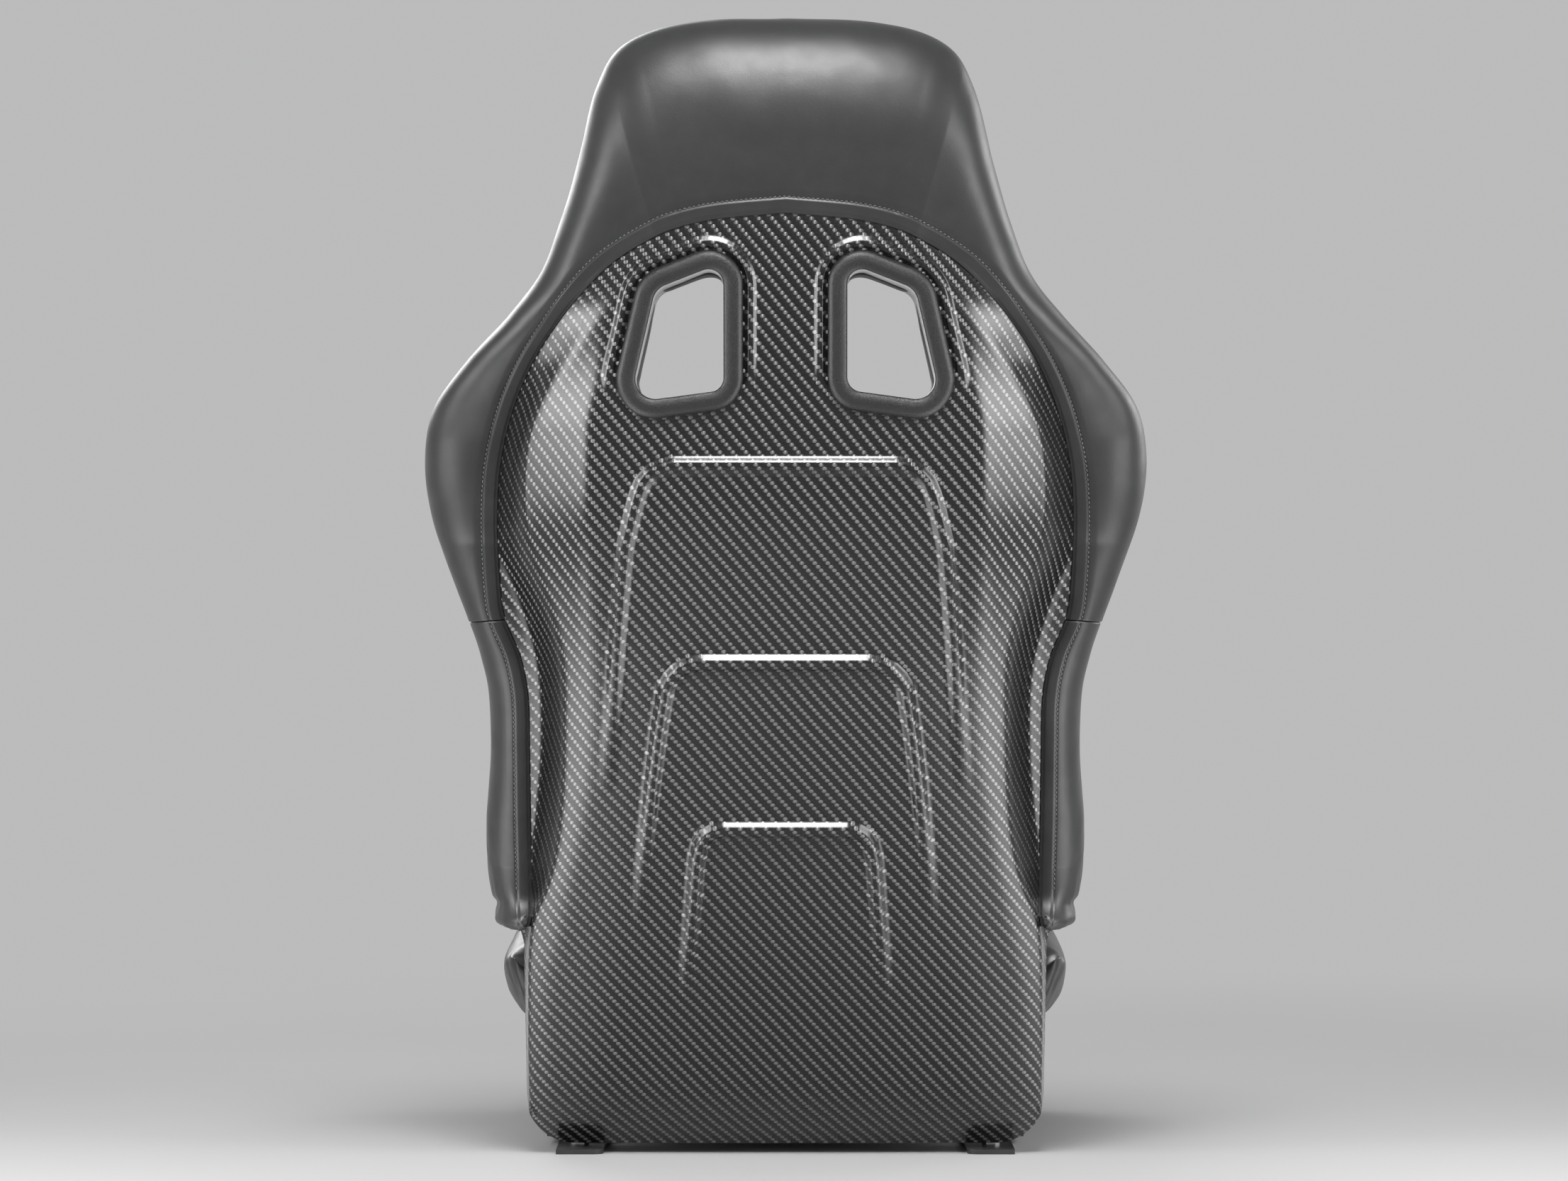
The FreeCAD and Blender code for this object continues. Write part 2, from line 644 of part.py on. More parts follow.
def suspension_panel():
    layer = centre_layer(-PANEL_HALF, PANEL_HALF, lambda x, z: forward_flat(z, PANEL_BACK),
                         lambda x, z: forward_flat(z, PANEL_BACK + PANEL_WALL), PANEL_BOTTOM, PANEL_TOP)
    slots = []
    rows = int((PANEL_TOP - PANEL_BOTTOM - 2 * PANEL_EDGE) / PANEL_SLOT_PITCH)
    for row in range(rows):
        low = PANEL_BOTTOM + PANEL_EDGE + row * PANEL_SLOT_PITCH
        high = low + PANEL_SLOT
        half = PANEL_HALF - PANEL_EDGE - FRAME_TUBE
        corners = [(half, low), (half, high), (-half, high), (-half, low)]
        slots.append(prism_y(corners, PANEL_SLOT * 0.45, 100, 600))
    return main_solid(layer.cut(slots))


def shell_mounts():
    """Bosses welded behind the uprights and bonded to the inside of the shell."""
    upright = upright_rod(FRAME_TUBE)
    bosses = []
    for height in MOUNT_HEIGHTS:
        x = upright_x(height)
        layer = centre_layer(x - 30, x + 14, lambda x, z: forward(x, z, SHELL_WALL + BOND_GAP),
                             lambda x, z: forward_flat(z, TUBE_DEPTH), height - 20, height + 20)
        boss = Part.makeCylinder(MOUNT_BOSS / 2, 200, V(x - MOUNT_INSET, value_at(REAR_LINE, height) - 120,
                                                        height), V(0, 1, 0))
        boss = main_solid(boss.common(layer).cut(upright))
        bosses += [boss, mirrored(boss)]
    return Part.makeCompound(bosses)


UPPER_PLATE_X = UPRIGHT_PATH[0][0] + FRAME_TUBE / 2
INNER_HALF_X = UPPER_PLATE_X + UPPER_PLATE_WALL
OUTER_HALF_X = INNER_HALF_X + RECLINER_HALF_THICKNESS + RECLINER_RUNNING_GAP
SIDE_X = OUTER_HALF_X + RECLINER_HALF_THICKNESS
SIDE_OUTER_X = SIDE_X + SIDE_WALL
COVER_X = SIDE_OUTER_X + COVER_GAP


def rod_hole(x0, x1):
    return rod_x(ROD_DIAMETER / 2 + ROD_GAP, x0 - 1, x1 + 1, PIVOT_Y, PIVOT_Z)


def bolt_places():
    """Places of the four recliner bolts in the side view."""
    radius = RECLINER_BOLT_CIRCLE / 2
    turns = [math.radians(45 + 90 * step) for step in range(4)]
    return [(PIVOT_Y + radius * math.cos(turn), PIVOT_Z + radius * math.sin(turn)) for turn in turns]


def bolt_holes(x0, x1):
    radius = (RECLINER_BOLT + BOLT_GAP) / 2
    return [rod_x(radius, x0 - 1, x1 + 1, y, z) for y, z in bolt_places()]


def recliner_upper_plate(side):
    reach = RECLINER_DIAMETER / 2 + 3
    low_z = UPRIGHT_PATH[0][1]
    tube_low = forward_flat(low_z, TUBE_DEPTH)
    tube_high = forward_flat(UPPER_PLATE_TOP, TUBE_DEPTH)
    edge = FRAME_TUBE / 2
    corners = [(PIVOT_Y - reach, PIVOT_Z - reach + 4), (PIVOT_Y + reach - 6, PIVOT_Z - reach + 4),
               (tube_low + edge, low_z - 22), (tube_high + edge, UPPER_PLATE_TOP - 6),
               (tube_high - edge / 2, UPPER_PLATE_TOP + 4), (tube_low - edge / 2, low_z + 22),
               (PIVOT_Y - reach, PIVOT_Z + reach)]
    plate = prism_x(corners, [24, 20, 30, 8, 8, 40, 24], UPPER_PLATE_X, INNER_HALF_X)
    plate = plate.cut([rod_hole(UPPER_PLATE_X, INNER_HALF_X)] + bolt_holes(UPPER_PLATE_X, INNER_HALF_X))
    return on_side(side, main_solid(plate))


def recliner_half(side, x0):
    x1 = x0 + RECLINER_HALF_THICKNESS
    disc = rod_x(RECLINER_DIAMETER / 2, x0, x1, PIVOT_Y, PIVOT_Z)
    disc = disc.cut([rod_hole(x0, x1)] + bolt_holes(x0, x1))
    return on_side(side, main_solid(disc))


def recliner_bolts(head_x, tip_x):
    """Hexagon bolts on both sides, with heads outside the given face."""
    sign = 1 if tip_x > head_x else -1
    bolts = []
    low, high = sorted((head_x, tip_x))
    for y, z in bolt_places():
        shank = rod_x(RECLINER_BOLT / 2, low, high, y, z)
        corners = [V(head_x, y + BOLT_HEAD * math.cos(math.radians(60 * step)),
                     z + BOLT_HEAD * math.sin(math.radians(60 * step))) for step in range(7)]
        head = Part.Face(Part.makePolygon(corners)).extrude(V(-sign * BOLT_HEAD_HEIGHT, 0, 0))
        bolt = main_solid(shank.fuse(head).removeSplitter())
        bolts += [bolt, mirrored(bolt)]
    return Part.makeCompound(bolts)


def side_member(side):
    reach = RECLINER_DIAMETER / 2 + 4
    corners = [(BASE_FRONT, MOUNT_PLANE), (SIDE_REAR_FOOT, MOUNT_PLANE), (SIDE_REAR_FOOT + 2, 40),
               (PIVOT_Y - 22, PIVOT_Z - reach), (PIVOT_Y + reach - 8, PIVOT_Z - reach + 2),
               (PIVOT_Y + reach - 2, PIVOT_Z + reach - 12), (PIVOT_Y - 16, PIVOT_Z + reach),
               (PIVOT_Y - reach - 6, PIVOT_Z - 4), (PIVOT_Y - 82, SIDE_TOP_REAR + 14),
               (40, SIDE_TOP_REAR + 6),
               (BASE_FRONT + 20, SIDE_TOP_FRONT), (BASE_FRONT, SIDE_TOP_FRONT - 16)]
    radii = [3, 8, 12, 20, 22, 22, 20, 14, 40, 60, 10, 8]
    plate = prism_x(corners, radii, SIDE_X, SIDE_OUTER_X)
    foot_x = BOLT_SPACING_X / 2
    foot = Part.makeBox(SIDE_OUTER_X - foot_x + FOOT_WIDTH / 2, FOOT_REAR - BASE_FRONT, FOOT_WALL,
                        V(foot_x - FOOT_WIDTH / 2, BASE_FRONT, MOUNT_PLANE))
    ends = [edge for edge in foot.Edges if abs(edge.Length - FOOT_WALL) < 0.01
            and edge.CenterOfMass.x < SIDE_X]
    foot = foot.makeFillet(10.0, ends)
    member = plate.fuse(foot)
    cuts = [rod_hole(SIDE_X, SIDE_OUTER_X)] + bolt_holes(SIDE_X, SIDE_OUTER_X)
    cuts += [rod_z(BOLT_HOLE / 2, foot_x, y, MOUNT_PLANE - 1, MOUNT_PLANE + FOOT_WALL + 1)
             for y in (-BOLT_SPACING_Y / 2, BOLT_SPACING_Y / 2)]
    cuts += [rod_x(COVER_SCREW / 2 + 0.1, SIDE_X - 1, SIDE_OUTER_X + 1, y, z) for y, z in COVER_SCREWS]
    member = member.cut(cuts)
    return on_side(side, main_solid(member.removeSplitter()))


def base_tube(y, z):
    return rod_x(BASE_TUBE / 2, -SIDE_X, SIDE_X, y, z).cut(
        rod_x(BASE_TUBE_BORE / 2, -SIDE_X - 1, SIDE_X + 1, y, z))


def pan_height(y):
    """Underside of the seat pan, which rests on both cross tubes."""
    front = FRONT_TUBE_Z + BASE_TUBE / 2 + PAN_SEAT
    rear = REAR_TUBE_Z + BASE_TUBE / 2 + PAN_SEAT
    along = (y - FRONT_TUBE_Y) / (REAR_TUBE_Y - FRONT_TUBE_Y)
    return front + (rear - front) * along - PAN_SAG * 4 * max(along * (1 - along), 0) ** 2 * 4


def pan_row(offset, y0, y1, x):
    return [V(x, y, pan_height(y) + offset) for y in levels(y0, y1, 30.0)]


def seat_pan():
    half = SIDE_X - PAN_SIDE_GAP
    low = pan_row(0, PAN_FRONT_Y, PAN_REAR_Y, -half)
    high = pan_row(PAN_WALL, PAN_FRONT_Y, PAN_REAR_Y, -half)
    outline = Part.Wire([spline(low), line(low[-1], high[-1]), spline(list(reversed(high))),
                         line(high[0], low[0])])
    return Part.Face(outline).extrude(V(2 * half, 0, 0))


def cushion():
    low = pan_row(PAN_WALL + SOFT_GAP, CUSHION_FRONT, PAN_REAR_Y, -CUSHION_HALF)
    heel = V(-CUSHION_HALF, CUSHION_REAR, low[-1].z + 6)
    top = [V(-CUSHION_HALF, y, z) for y, z in CUSHION_TOP]
    outline = Part.Wire([spline(low), line(low[-1], heel), line(heel, top[0]), spline(top),
                         line(top[-1], low[0])])
    return Part.Face(outline).extrude(V(2 * CUSHION_HALF, 0, 0))


def cushion_nose():
    rear = CUSHION_FRONT - SEAM_GAP
    half = NOSE_HALF
    low = pan_height(CUSHION_FRONT) - 6
    top = CUSHION_TOP[-1][1]
    points = [(rear, top), (rear - 20, top + 2), (NOSE_FRONT + 16, top - 14), (NOSE_FRONT, top - 48),
              (NOSE_FRONT + 8, low - 8), (NOSE_FRONT + 24, low - 18)]
    curve = [V(-half, y, z) for y, z in points]
    foot = V(-half, BASE_FRONT - 4, low - 18)
    inner = V(-half, BASE_FRONT - 4, low + 16)
    heel = V(-half, rear, low + 16)
    outline = Part.Wire([spline(curve), line(curve[-1], foot), line(foot, inner), line(inner, heel),
                         line(heel, curve[0])])
    nose = Part.Face(outline).extrude(V(2 * half, 0, 0))
    ends = [edge for edge in nose.Edges if edge.CenterOfMass.y < NOSE_FRONT + 24
            and abs(abs(edge.CenterOfMass.x) - half) < 0.01]
    return main_solid(nose.makeFillet(NOSE_CORNER, ends))


def thigh_bolster(side):
    wires = []
    outers = [(y, outer) for y, outer, _ in THIGH_STATIONS]
    tops = [(y, top) for y, _, top in THIGH_STATIONS]
    for y in levels(THIGH_STATIONS[0][0], THIGH_STATIONS[-1][0], THIGH_STEP):
        outer = value_at(outers, y)
        top = value_at(tops, y)
        low = pan_height(min(y, PAN_REAR_Y)) + PAN_WALL + SOFT_GAP
        inner = CUSHION_HALF + SOFT_GAP
        wall = SIDE_X - SOFT_GAP - 1
        ledge = COVER_TOP + COVER_GAP
        curve = [V(COVER_X + THIGH_LEDGE[0], y, ledge + THIGH_LEDGE[1])]
        curve += [V(outer - back, y, ledge + up) for back, up in THIGH_CHEEK]
        curve += [V(outer - THIGH_SHOULDER, y, top - THIGH_SHOULDER), V((inner + outer) / 2, y, top)]
        curve += [V(inner + out, y, top - down) for out, down in THIGH_INNER]
        foot = V(inner, y, low)
        step = V(wall, y, low)
        rim = V(wall, y, ledge)
        wires.append(Part.Wire([line(foot, step), line(step, rim), line(rim, curve[0]), spline(curve),
                                line(curve[-1], foot)]))
    return on_side(side, loft(wires))


def side_cover(side):
    front = CUSHION_FRONT + 4
    corners = [(front, MOUNT_PLANE + 6), (COVER_REAR - 8, MOUNT_PLANE + 6), (COVER_REAR, 60),
               (COVER_REAR - 2, COVER_TOP), (front, COVER_TOP)]
    radii = [12, 8, 60, 14, 12]
    x1 = COVER_X + COVER_DEPTH
    body = prism_x(corners, radii, COVER_X, x1)
    inside = grown(corners, -COVER_WALL)
    body = body.cut(prism_x(inside, [r - COVER_WALL + 0.5 for r in radii], COVER_X - 1, x1 - COVER_WALL))
    bosses = [rod_x(COVER_SCREW + 1.5, SIDE_OUTER_X + BEZEL_SEAT, x1 - COVER_WALL / 2, y, z)
              for y, z in COVER_SCREWS]
    body = body.fuse(bosses)
    body = body.cut([rod_x(COVER_SCREW / 2 + 0.1, SIDE_X, x1 + 1, y, z) for y, z in COVER_SCREWS])
    return on_side(side, main_solid(body))


def cover_screws():
    screws = []
    for y, z in COVER_SCREWS:
        head_x = COVER_X + COVER_DEPTH
        shank = rod_x(COVER_SCREW / 2, SIDE_X - 2, head_x, y, z)
        head = rod_x(SCREW_HEAD / 2, head_x, head_x + SCREW_HEAD_HEIGHT, y, z)
        screw = shank.fuse(head)
        screw = screw.cut(prism_x([(y + SCREW_SOCKET * math.cos(math.radians(60 * step)),
                                    z + SCREW_SOCKET * math.sin(math.radians(60 * step)))
                                   for step in range(6)], 0.2, head_x + 0.8, head_x + 5))
        screw = main_solid(screw)
        screws += [screw, mirrored(screw)]
    return Part.makeCompound(screws)


def weld_nuts():
    nuts = []
    radius = NUT_ACROSS / math.sqrt(3)
    z = MOUNT_PLANE + FOOT_WALL
    for y in (-BOLT_SPACING_Y / 2, BOLT_SPACING_Y / 2):
        x = BOLT_SPACING_X / 2
        corners = [V(x + radius * math.cos(math.radians(60 * step)),
                     y + radius * math.sin(math.radians(60 * step)), z) for step in range(7)]
        nut = Part.Face(Part.makePolygon(corners)).extrude(V(0, 0, NUT_HEIGHT))
        nut = main_solid(nut.cut(rod_z(BOLT_HOLE / 2, x, y, z - 1, z + NUT_HEIGHT + 1)))
        nuts += [nut, mirrored(nut)]
    return Part.makeCompound(nuts)


def release_rod():
    end = LEVER_HUB_X + LEVER_HUB_LENGTH - 2
    return rod_x(ROD_DIAMETER / 2, -end, end, PIVOT_Y, PIVOT_Z)


def release_lever(side):
    x1 = LEVER_HUB_X + LEVER_HUB_LENGTH
    hub = rod_x(LEVER_HUB / 2, LEVER_HUB_X, x1, PIVOT_Y, PIVOT_Z)
    arm_x = x1 - LEVER_WALL
    grip_y = PIVOT_Y - LEVER_LENGTH
    rise = LEVER_RISE
    square = LEVER_HUB / 2 * math.sqrt(0.5)
    grip_end = grip_y + LEVER_GRIP_LENGTH
    arm = prism_x([(PIVOT_Y + square, PIVOT_Z - square), (PIVOT_Y + square, PIVOT_Z + square),
                   (PIVOT_Y - 16, PIVOT_Z + 7), (grip_end - 10, PIVOT_Z + rise + 8),
                   (grip_end - 20, PIVOT_Z + rise - 8), (PIVOT_Y - 22, PIVOT_Z - 14)],
                  [6, 6, 12, 5, 5, 12], arm_x, x1)
    grip = prism_x([(grip_y, PIVOT_Z + rise - 7), (grip_y, PIVOT_Z + rise + 9),
                    (grip_end, PIVOT_Z + rise + 11), (grip_end, PIVOT_Z + rise - 11)], [7, 7, 9, 9],
                   arm_x, arm_x + LEVER_GRIP_WIDTH)
    lever = hub.fuse([arm, grip])
    lever = lever.cut(rod_x(ROD_DIAMETER / 2, LEVER_HUB_X - 1, x1 - 2, PIVOT_Y, PIVOT_Z))
    return on_side(side, main_solid(lever.removeSplitter()))


def release_spring(side):
    """Flat spiral spring round the rod, outside the side member."""
    def turn_point(angle, growth):
        radius = SPRING_INNER + SPRING_PITCH * angle / 360 + growth
        a = math.radians(angle)
        return V(SIDE_OUTER_X + SPRING_GAP, PIVOT_Y + radius * math.cos(a), PIVOT_Z + radius * math.sin(a))
    angles = levels(0, 360 * SPRING_TURNS, 24.0)
    inner = [turn_point(angle, 0) for angle in angles]
    outer = [turn_point(angle, SPRING_WALL) for angle in reversed(angles)]
    outline = Part.Wire([spline(inner), line(inner[-1], outer[0]), spline(outer),
                         line(outer[-1], inner[0])])
    return on_side(side, Part.Face(outline).extrude(V(SPRING_WIDTH, 0, 0)))


def head_front_layer(ahead, behind):
    """Layer round the front of the head, between distances ahead of it and behind it."""
    (low, _), (high, _) = HEAD_FRONT[0], HEAD_FRONT[-1]
    half = HEAD_INSERT[1][0] + HEAD_INSERT_CORNER
    return centre_layer(-half, half, lambda x, z: value_at(HEAD_FRONT, z) + behind,
                        lambda x, z: value_at(HEAD_FRONT, z) - ahead, low, high)


def head_insert():
    layer = head_front_layer(HEAD_INSERT_PROUD, HEAD_INSERT_SUNK)
    return main_solid(layer.common(prism_y(HEAD_INSERT, HEAD_INSERT_CORNER, 200, 500)))


def head_pocket():
    layer = head_front_layer(4 * HEAD_INSERT_PROUD, HEAD_INSERT_SUNK + SOFT_GAP)
    outline = prism_y(grown(HEAD_INSERT, SOFT_GAP), HEAD_INSERT_CORNER + SOFT_GAP, 200, 500)
    return main_solid(layer.common(outline))


def save(name, shape):
    shape = shape.copy()
    shape.translate(V(0, 0, -MOUNT_PLANE))
    bad = [index for index, solid in enumerate(shape.Solids) if not solid.isValid()]
    state = "BAD" if bad else "ok"
    print(f"{name:26s} {len(shape.Solids):2d} solids {shape.Volume / 1000:9.1f} cm3 {state}")
    shape.exportStep(f"parts/{name}.step")


def build():
    os.makedirs("parts", exist_ok=True)
    room = shell_envelope()
    frame_room = frame_envelope()
    save("carbon_back_shell", carbon_back_shell())
    save("head_roll", main_solid(head_roll().cut([room, head_pocket()] + frame_room)))
    save("head_insert", head_insert())
    lumbar, upper = back_pads()
    save("lumbar_pad", lumbar)
    save("upper_back_pad", upper)
    save("suspension_panel", suspension_panel())
    shoulder = main_solid(bolster(HEAD_LAST, SHOULDER_LAST, True, True).cut([room] + frame_room[:1]))
    torso = main_solid(bolster(SHOULDER_LAST, len(HEM) - 1, True, False).cut(room))
    upright = upright_rod(FRAME_TUBE, FRAME_BORE)
    for side in ("left", "right"):
        save(f"shoulder_bolster_{side}", on_side(side, shoulder))
        save(f"torso_bolster_{side}", on_side(side, torso))
        save(f"belt_bezel_{side}", belt_bezel(side, room))
        save(f"belt_liner_{side}", belt_liner(side))
        save(f"belt_front_bezel_{side}", belt_front_bezel(side))
        save(f"back_upright_{side}", on_side(side, upright))
        save(f"recliner_upper_plate_{side}", recliner_upper_plate(side))
        save(f"recliner_inner_half_{side}", recliner_half(side, INNER_HALF_X))
        save(f"recliner_outer_half_{side}", recliner_half(side, OUTER_HALF_X))
        save(f"side_member_{side}", side_member(side))
        save(f"thigh_bolster_{side}", thigh_bolster(side))
        save(f"side_cover_{side}", side_cover(side))
        save(f"release_lever_{side}", release_lever(side))
        save(f"release_spring_{side}", release_spring(side))
    save("back_top_tube", back_cross_tube(TOP_TUBE_HEIGHT))
    save("back_middle_tube", back_cross_tube(MIDDLE_TUBE_HEIGHT))
    save("back_lower_tube", back_cross_tube(LOWER_TUBE_HEIGHT))
    save("shell_mounts", shell_mounts())
    save("back_recliner_bolts", recliner_bolts(UPPER_PLATE_X, INNER_HALF_X + RECLINER_HALF_THICKNESS - 0.5))
    save("base_recliner_bolts", recliner_bolts(SIDE_OUTER_X, OUTER_HALF_X + 0.5))
    save("base_front_tube", base_tube(FRONT_TUBE_Y, FRONT_TUBE_Z))
    save("base_rear_tube", base_tube(REAR_TUBE_Y, REAR_TUBE_Z))
    save("seat_pan", seat_pan())
    save("cushion", cushion())
    save("cushion_nose", cushion_nose())
    save("cover_screws", cover_screws())
    save("weld_nuts", weld_nuts())
    save("release_rod", release_rod())


if __name__ == "__main__":
    build()
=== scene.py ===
"""Looks of the reclining racing seat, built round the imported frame.

The frame is in metres. The seat faces -Y, and +X is the sitter's left. Shapes are worked out in millimetres
on the part's own height datum, and to_frame() brings them into the frame.
"""
import math

import bmesh
import bpy
import numpy as np
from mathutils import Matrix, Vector, noise
from mathutils.bvhtree import BVHTree


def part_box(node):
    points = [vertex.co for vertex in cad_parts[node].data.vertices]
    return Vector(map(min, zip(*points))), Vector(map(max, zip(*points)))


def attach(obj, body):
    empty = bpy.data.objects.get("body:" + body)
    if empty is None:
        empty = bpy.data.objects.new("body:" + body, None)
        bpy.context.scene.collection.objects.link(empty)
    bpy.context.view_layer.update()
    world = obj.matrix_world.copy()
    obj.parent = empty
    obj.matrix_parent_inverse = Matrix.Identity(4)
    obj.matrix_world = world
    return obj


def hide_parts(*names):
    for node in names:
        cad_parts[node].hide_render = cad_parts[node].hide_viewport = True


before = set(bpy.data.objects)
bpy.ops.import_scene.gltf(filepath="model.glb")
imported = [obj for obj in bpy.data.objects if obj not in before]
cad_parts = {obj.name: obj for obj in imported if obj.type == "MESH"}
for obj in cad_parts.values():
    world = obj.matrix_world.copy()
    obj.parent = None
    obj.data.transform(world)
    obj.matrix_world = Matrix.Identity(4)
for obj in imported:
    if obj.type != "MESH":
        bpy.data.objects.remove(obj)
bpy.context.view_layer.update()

# Stations of height and value for the shell, the same as in the part's source
REAR_LINE = [(21, 186), (40, 204), (65, 224), (115, 250), (237, 308), (369, 364), (466, 397),
             (560, 422), (712, 441), (800, 445), (870, 441), (940, 425)]
FLAT_HALF = [(21, 190), (150, 191), (208, 179), (266, 167), (323, 155), (378, 150), (609, 148),
             (650, 138), (712, 122), (760, 88), (830, 70)]
CREASE_HALF = [(21, 213), (140, 212), (208, 208), (240, 195), (266, 187), (300, 182), (360, 179),
               (426, 180), (466, 188), (495, 197), (529, 207), (560, 209.5), (600, 206), (629, 196),
               (658, 179), (692, 155), (712, 138), (760, 105), (830, 86)]
WALL_HALF = [(21, 216), (215, 214), (240, 211), (271, 207), (306, 203), (351, 199), (403, 199),
             (437, 204), (472, 215), (518, 233), (552, 236), (586, 233), (629, 222), (666, 206),
             (701, 181), (734, 156), (769, 118), (830, 100)]
FLANK_SLOPE = [(21, 0.5), (300, 0.56), (600, 0.56), (690, 0.34), (740, 0.2), (830, 0.1)]
WALL_DEPTH = [(21, 40), (300, 43), (600, 43), (650, 34), (690, 20), (720, 11), (770, 7), (830, 5)]
# Inner and outer edge of the leather in the rear view, from the middle of the head down to the torso's end,
# with the depth of the bolster and its reach over the pads at the same points
HEM = [(0, 782), (55, 777), (90, 769), (112, 759), (132, 747), (148, 734), (164, 717), (180, 698),
       (202, 666), (219, 629), (230, 586), (233.5, 540), (232, 486), (228, 458), (216, 428),
       (210, 395), (209.5, 350), (209.5, 290), (209, 245), (208, 212)]
OUTER = [(0, 938), (75, 935), (128, 918), (151, 884), (166, 825), (181, 775), (196, 736), (222, 703),
         (257, 666), (285, 629), (293, 588), (287, 540), (269, 486), (258, 456), (249, 428),
         (243, 397), (242, 350), (246, 290), (245, 245), (234, 203)]
BOLSTER_DEPTH = [124, 123, 121, 118, 114, 112, 113, 118, 128, 138, 147, 150, 150, 150, 150, 150, 150, 144,
                 134, 116]
BOLSTER_INNER = [18, 13, 18, 15, 14, 17, 25, 33, 47, 59, 67, 72, 70, 66, 57, 52, 51, 51, 50, 50]
APERTURE = [(103, 721), (49, 742), (49, 641), (124, 631)]
APERTURE_CORNERS = [16, 12, 12, 16]
SHELL_BOTTOM = 21.0
SHELL_CORNER = 42.0
SHELL_BOTTOM_HALF = 216.0
SHELL_WALL = 2.5
SHELL_TUCK = 14.0
FLAT_CROWN = 4.0
FLANGE_SLOPE = 0.25
LEAST_FLANK = 4
LEAST_WALL = 2
CREASE_EASE = 14.0
CREASE_SHARE = 0.6
HEM_END = len(HEM) - 1
SHOULDER_LAST = 13
LEATHER_STEP = 2.0
PAD_FRONT = 100.0
PAD_BACK = 48.5
PAD_CROWN = 5.0
SEAM_PROUD = 4.0
SEAM_ROLL = 9.0
DATUM = 13.0


def track(stations, position):
    """Smooth value between stations, held flat beyond the ends; position may be an array."""
    xs = np.array([s[0] for s in stations], float)
    ys = np.array([s[1] for s in stations], float)
    last = len(xs) - 1
    low = np.maximum(np.arange(last + 1) - 1, 0)
    high = np.minimum(np.arange(last + 1) + 1, last)
    slopes = (ys[high] - ys[low]) / (xs[high] - xs[low])
    p = np.clip(np.asarray(position, float), xs[0], xs[-1])
    i = np.clip(np.searchsorted(xs, p, side="right") - 1, 0, last - 1)
    span = xs[i + 1] - xs[i]
    t = (p - xs[i]) / span
    return ((2 * t**3 - 3 * t**2 + 1) * ys[i] + (t**3 - 2 * t**2 + t) * span * slopes[i]
            + (3 * t**2 - 2 * t**3) * ys[i + 1] + (t**3 - t**2) * span * slopes[i + 1])


def shell_lines(z):
    """Half widths of the shell where its flat, its flank and its wall end."""
    flat = track(FLAT_HALF, z)
    crease = np.maximum(track(CREASE_HALF, z), flat + LEAST_FLANK)
    wall = np.maximum(track(WALL_HALF, z), crease + LEAST_WALL)
    return flat, crease, wall


def rear_face(x, z):
    """Depth of the outer face of the shell at points of the rear view."""
    x, z = np.broadcast_arrays(np.abs(np.asarray(x, float)), np.asarray(z, float))
    flat, crease, wall = shell_lines(z)
    depth = track(REAR_LINE, z) - FLAT_CROWN * np.minimum(x / flat, 1) ** 2
    width = np.clip(x, flat, crease) - flat
    ease = np.minimum(CREASE_EASE, CREASE_SHARE * (crease - flat))
    bent = np.where(width > ease, width - ease / 2, width**2 / (2 * ease))
    depth = depth - track(FLANK_SLOPE, z) * bent
    depth = depth - track(WALL_DEPTH, z) * (np.clip(x, crease, wall) - crease) / (wall - crease)
    return depth - FLANGE_SLOPE * np.maximum(x - wall, 0)


def lean_stretch(z):
    """How much longer the leaning back is than its height."""
    return np.hypot(1, (track(REAR_LINE, np.asarray(z) + 1) - track(REAR_LINE, np.asarray(z) - 1)) / 2)


def forward_flat(z, offset):
    """Depth of a face that lies an offset in front of the shell's middle line."""
    return track(REAR_LINE, z) - offset * lean_stretch(z)


def to_frame(points):
    """Datum millimetres to metres in the frame."""
    return (np.asarray(points, float) - (0, 0, DATUM)) * 0.001


def along(points, t):
    """Places on the smooth curve through points, by point number."""
    stations = list(enumerate(points))
    return np.stack([track([(i, p[axis]) for i, p in stations], t) for axis in (0, 1)], -1)


# Mesh helpers

def mesh_object(name, points, faces):
    mesh = bpy.data.meshes.new(name)
    mesh.from_pydata([tuple(p) for p in points], [], [tuple(f) for f in faces])
    mesh.validate()
    mesh.update()
    mesh.shade_smooth()
    obj = bpy.data.objects.new(name, mesh)
    bpy.context.scene.collection.objects.link(obj)
    return obj


def grid_faces(rows, cols, around=False, offset=0):
    """Quads of a rows x cols grid of vertices; around closes the columns."""
    wide = cols if around else cols - 1
    r, c = np.meshgrid(np.arange(rows - 1), np.arange(wide), indexing="ij")
    a = r * cols + c
    b = r * cols + (c + 1) % cols
    return np.stack([a, b, b + cols, a + cols], -1).reshape(-1, 4) + offset


def grid_normals(points):
    """Unit normals of a grid of points, from central differences."""
    across = np.gradient(points, axis=1)
    down = np.gradient(points, axis=0)
    normal = np.cross(across, down)
    return normal / np.maximum(np.linalg.norm(normal, axis=-1, keepdims=True), 1e-9)


def point_vectors(obj, name, values):
    """Stores a vector at each vertex for the materials."""
    attribute = obj.data.attributes.new(name, "FLOAT_VECTOR", "POINT")
    attribute.data.foreach_set("vector", np.asarray(values, np.float32).ravel())


def smoothstep(low, high, value):
    t = np.clip((value - low) / (high - low), 0, 1)
    return t * t * (3 - 2 * t)


